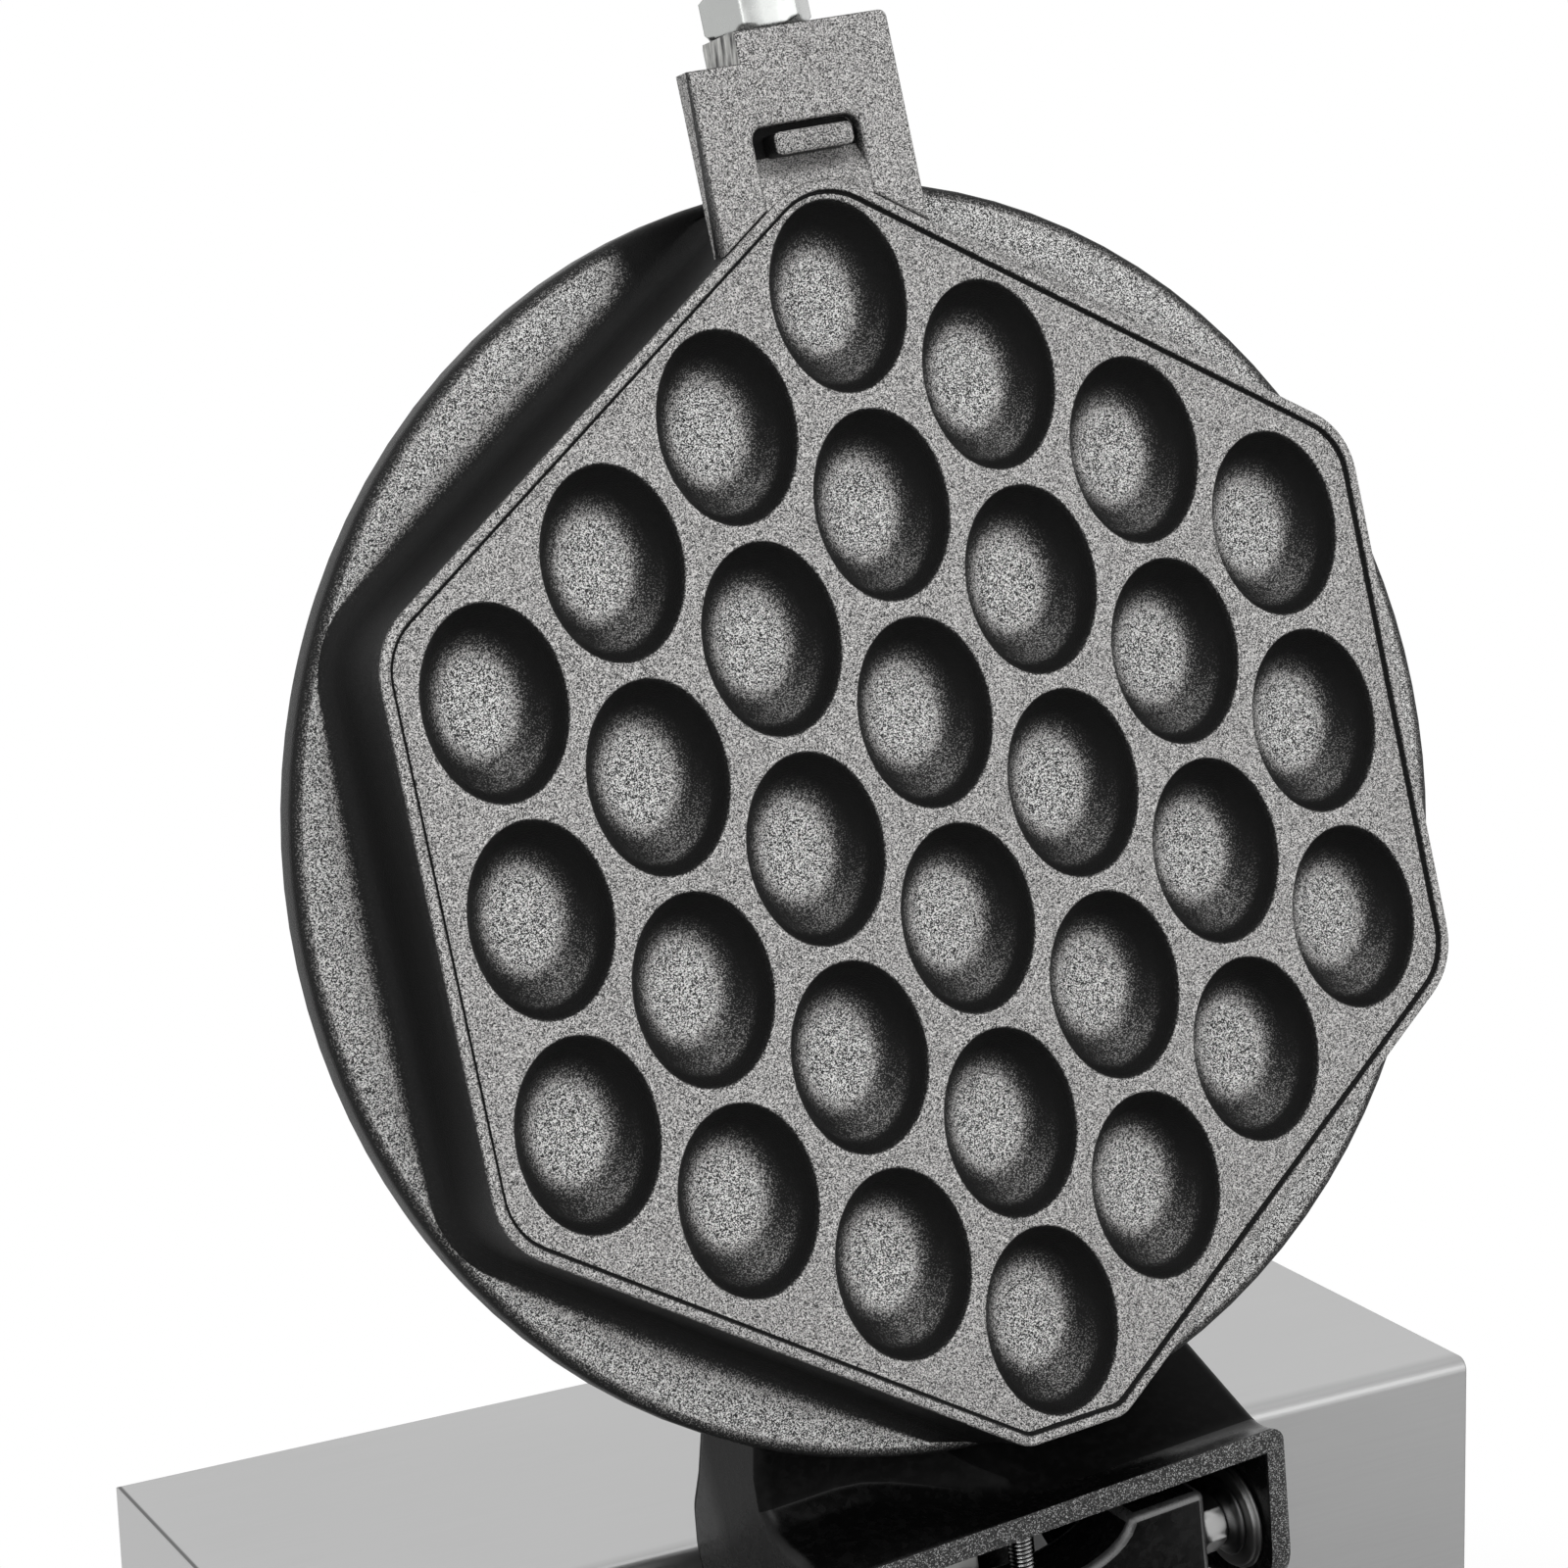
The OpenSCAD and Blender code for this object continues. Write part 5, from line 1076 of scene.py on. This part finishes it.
def makeLugs():
    g, h = lug, hub
    bm = bmesh.new()
    addTurned(bm, cupProfile(), Matrix(), 96)
    back = cup["front"] - cup["depth"]
    addPrism(bm, [(-hood["riserRoot"], back), (-hood["riserRoot"], -hood["riserFront"]),
                  (-g["rampTop"], -hood["riserFront"]), (-g["rampFoot"], g["base"]),
                  (-g["front"] + g["foot"], g["base"]), (-g["front"], g["base"] + g["foot"]),
                  (-g["front"], g["base"] + g["foot"] + 3), (-g["back"], g["base"] + g["foot"] + 3),
                  (-g["back"], back + g["chamfer"]), (-g["back"] + g["chamfer"], back)], g["half"], 1.6)
    before = set(bm.verts)
    base = g["base"] + g["foot"] - 1
    angles = [math.radians(10 * k) for k in range(19)]
    outline = [(-g["half"], base), (g["half"], base), (g["half"], g["top"])]
    outline += [(g["valley"] * math.cos(a), g["top"] - g["valleyDepth"] * math.sin(a)) for a in angles]
    outline += [(-g["half"], g["top"])]
    face = bm.faces.new([bm.verts.new((x, -g["front"], z)) for x, z in outline])
    bmesh.ops.translate(bm, vec=(0, g["front"] - g["back"], 0),
                        verts=raised(bmesh.ops.extrude_face_region(bm, geom=[face])))
    edges = [e for e in edgesOf(newVerts(bm, before))
             if e.calc_face_angle(0) > 0.5 and any(v.co.z > base + 1 for v in e.verts)]
    # the lugs' rounded edges take a lighter colour as a painted highlight, with a strong specular
    for f in soften(bm, edges, g["round"], 6)["faces"]:
        f.material_index = 1
    facesOut(bm, newVerts(bm, before))
    r, length, high = h["radius"], h["end"] - h["start"], h["height"]
    addTurned(bm, [(0, 0), (r, 0), (r, length - 1.2), (r - 0.4, length - 0.4), (r - 1.2, length),
                   (h["bore"], length), (h["bore"], length - h["boreDepth"]), (0, length - h["boreDepth"])],
              shift(0, -h["start"], high) @ turn(90, "X"), 64)
    # a thin collar near the hub's end, and shoulders that fill the corners over the hub, behind the lugs
    c, thick = h["collar"], h["collarThick"]
    addTurned(bm, [(0, 0), (c - 0.6, 0), (c, 0.5), (c, 1.1), (c - 0.6, thick), (0, thick)],
              shift(0, -h["end"] + 0.7 + thick, high) @ turn(90, "X"), 64)
    addPrism(bm, [(-g["back"] + 2, high), (-g["back"] + 2, h["saddle"]), (-h["end"] + 9, h["saddle"]),
                  (-h["end"] + 6, h["saddle"] - 3), (-h["end"] + 6, high)], r + 0.1, 1.0)
    finishPiece("bottomHousing", bm, inLower, ["blackCasting", "lugEdgeHighlight"], "rotor", ["lower_housing"],
                32)


makeHood()
makeLugs()
print("housings ready")


# controls, lamps and feet
# mark: width, length and middle; ticks: count, step in degrees, radius, width, short and long length
controls = {"knobRadius": 17, "knobHeight": 16.5, "flutes": 12, "mark": (1.8, 9, 5), "lampX": 34,
            "lampRadius": 5, "ticks": (11, 27, 20.5, 0.7, 2.0, 3.2), "footRadius": 13, "footHeight": 14.9}
frontY = boxOf("base_shell")[0][1]
controlZ = (boxOf("base_shell")[0][2] + boxOf("base_shell")[1][2]) / 2


def onFront(x):
    return shift(x, frontY, controlZ) @ turn(90, "X")


def makeKnob(name, node, body):
    c = controls
    x = (boxOf(node)[0][0] + boxOf(node)[1][0]) / 2
    bm = bmesh.new()
    before = set(bm.verts)
    edges = edgesOf(bmesh.ops.create_circle(bm, segments=c["flutes"] * 8, radius=3)["verts"])
    top = c["knobHeight"]
    skirt, foot = c["knobRadius"], c["knobRadius"] * 0.84
    # radius, height, depth of the flutes
    rings = [(3, 0.3, 0), (skirt - 0.4, 0.3, 0), (skirt, 0.7, 0), (skirt, 3.2, 0), (skirt - 0.9, 4.6, 0),
             (foot + 0.9, 5.2, 0), (foot + 0.2, 5.5, 0.2), (foot, 6.2, 0.6), (foot - 0.6, 11, 0.65),
             (foot - 1.1, top - 1.6, 0.6), (foot - 1.7, top - 0.5, 0.35), (foot - 2.6, top - 0.05, 0),
             (foot - 3.4, top, 0), (foot - 4.2, top - 0.25, 0), (1, top - 0.25, 0)]
    for r, z, flute in rings:
        edges = extrudeLoop(bm, edges, lambda q: fluted(q, r, z, flute))
    bmesh.ops.edgeloop_fill(bm, edges=edges)
    bmesh.ops.edgeloop_fill(bm, edges=[e for e in bm.edges if e.is_boundary])
    settle(bm, before, Matrix())
    addTurned(bm, [(0, -1.0), (3, -1.0), (3, 0.35), (0, 0.35)], Matrix(), 32)
    mark = bmesh.ops.create_cube(bm, size=1)["verts"]
    width, length, middle = c["mark"]
    for v in mark:
        v.co = Vector((v.co.x * width, middle + v.co.y * length, top - 0.35 + (v.co.z + 0.5) * 0.95))
    for f in {f for v in soften(bm, edgesOf(mark), 0.25, 2, clamp=False)["verts"] for f in v.link_faces}:
        f.material_index = 1
    finishPiece(name, bm, onFront(x), ["knobPlastic", "markPaint"], body, [node], 30)


def fluted(q, r, z, depth):
    angle = math.atan2(q.y, q.x)
    r -= depth * max(0.0, math.cos(controls["flutes"] * angle)) ** 2
    return Vector((r * math.cos(angle), r * math.sin(angle), z))


def makeFront():
    c = controls
    count, step, r, width, short, long = c["ticks"]
    bm = bmesh.new()
    for node in ("thermostat_knob", "timer_knob"):
        x = (boxOf(node)[0][0] + boxOf(node)[1][0]) / 2
        for k in range(count):
            tick = bmesh.ops.create_cube(bm, size=1)["verts"]
            length = long if k % 5 == 0 else short
            for v in tick:
                v.co = Vector((v.co.x * width, r + (v.co.y + 0.5) * length, 0.02 + (v.co.z + 0.5) * 0.06))
            bmesh.ops.transform(bm, matrix=onFront(x) @ turn(step * (k - (count - 1) / 2), "Z"), verts=tick)
    finishPiece("dialMarks", bm, Matrix(), "blackPlastic", "body", [])
    bm = bmesh.new()
    r = c["lampRadius"]
    for side in (-1, 1):
        where = onFront(side * c["lampX"])
        addTurned(bm, [(r - 0.4, 0.1), (r + 2, 0.1), (r + 2, 1.2), (r + 1.6, 1.8), (r + 0.9, 2.1),
                       (r + 0.1, 2.1), (r - 0.4, 1.5), (r - 0.4, 0.1)], where)
    for f in bm.faces:
        f.material_index = 1
    for side in (-1, 1):
        addTurned(bm, [(0, -12), (r - 0.1, -12), (r - 0.1, 1.6), (r - 0.5, 2.9), (r - 1.4, 4.0), (r - 2.9, 4.8),
                       (0, 5.1)], onFront(side * c["lampX"]))
    finishPiece("lamps", bm, Matrix(), ["lampPlastic", "rodSteel"], "body", ["indicator_lamps"],
                30)
    lo, hi = boxOf("rubber_feet")
    r, h = c["footRadius"], c["footHeight"]
    foot = [(0, 0.7), (5, 0.7), (5.6, 0), (r - 3, 0), (r - 2.1, 0.5), (r - 1.7, 1.6), (r - 0.9, h - 4),
            (r - 0.75, h - 3.2), (r - 0.05, h - 2.6), (r, h - 0.6), (r - 0.4, h), (2.5, h), (2.5, h + 4.2),
            (0, h + 4.2)]
    makeTurned("feet", [(foot, shift(x, y, 0)) for x in (lo[0] + r, hi[0] - r) for y in (lo[1] + r, hi[1] - r)],
               Matrix(), "rubber", "body", "rubber_feet")


makeKnob("thermostatKnob", "thermostat_knob", "thermostat_dial")
makeKnob("timerKnob", "timer_knob", "timer_dial")
makeFront()
print("controls ready")
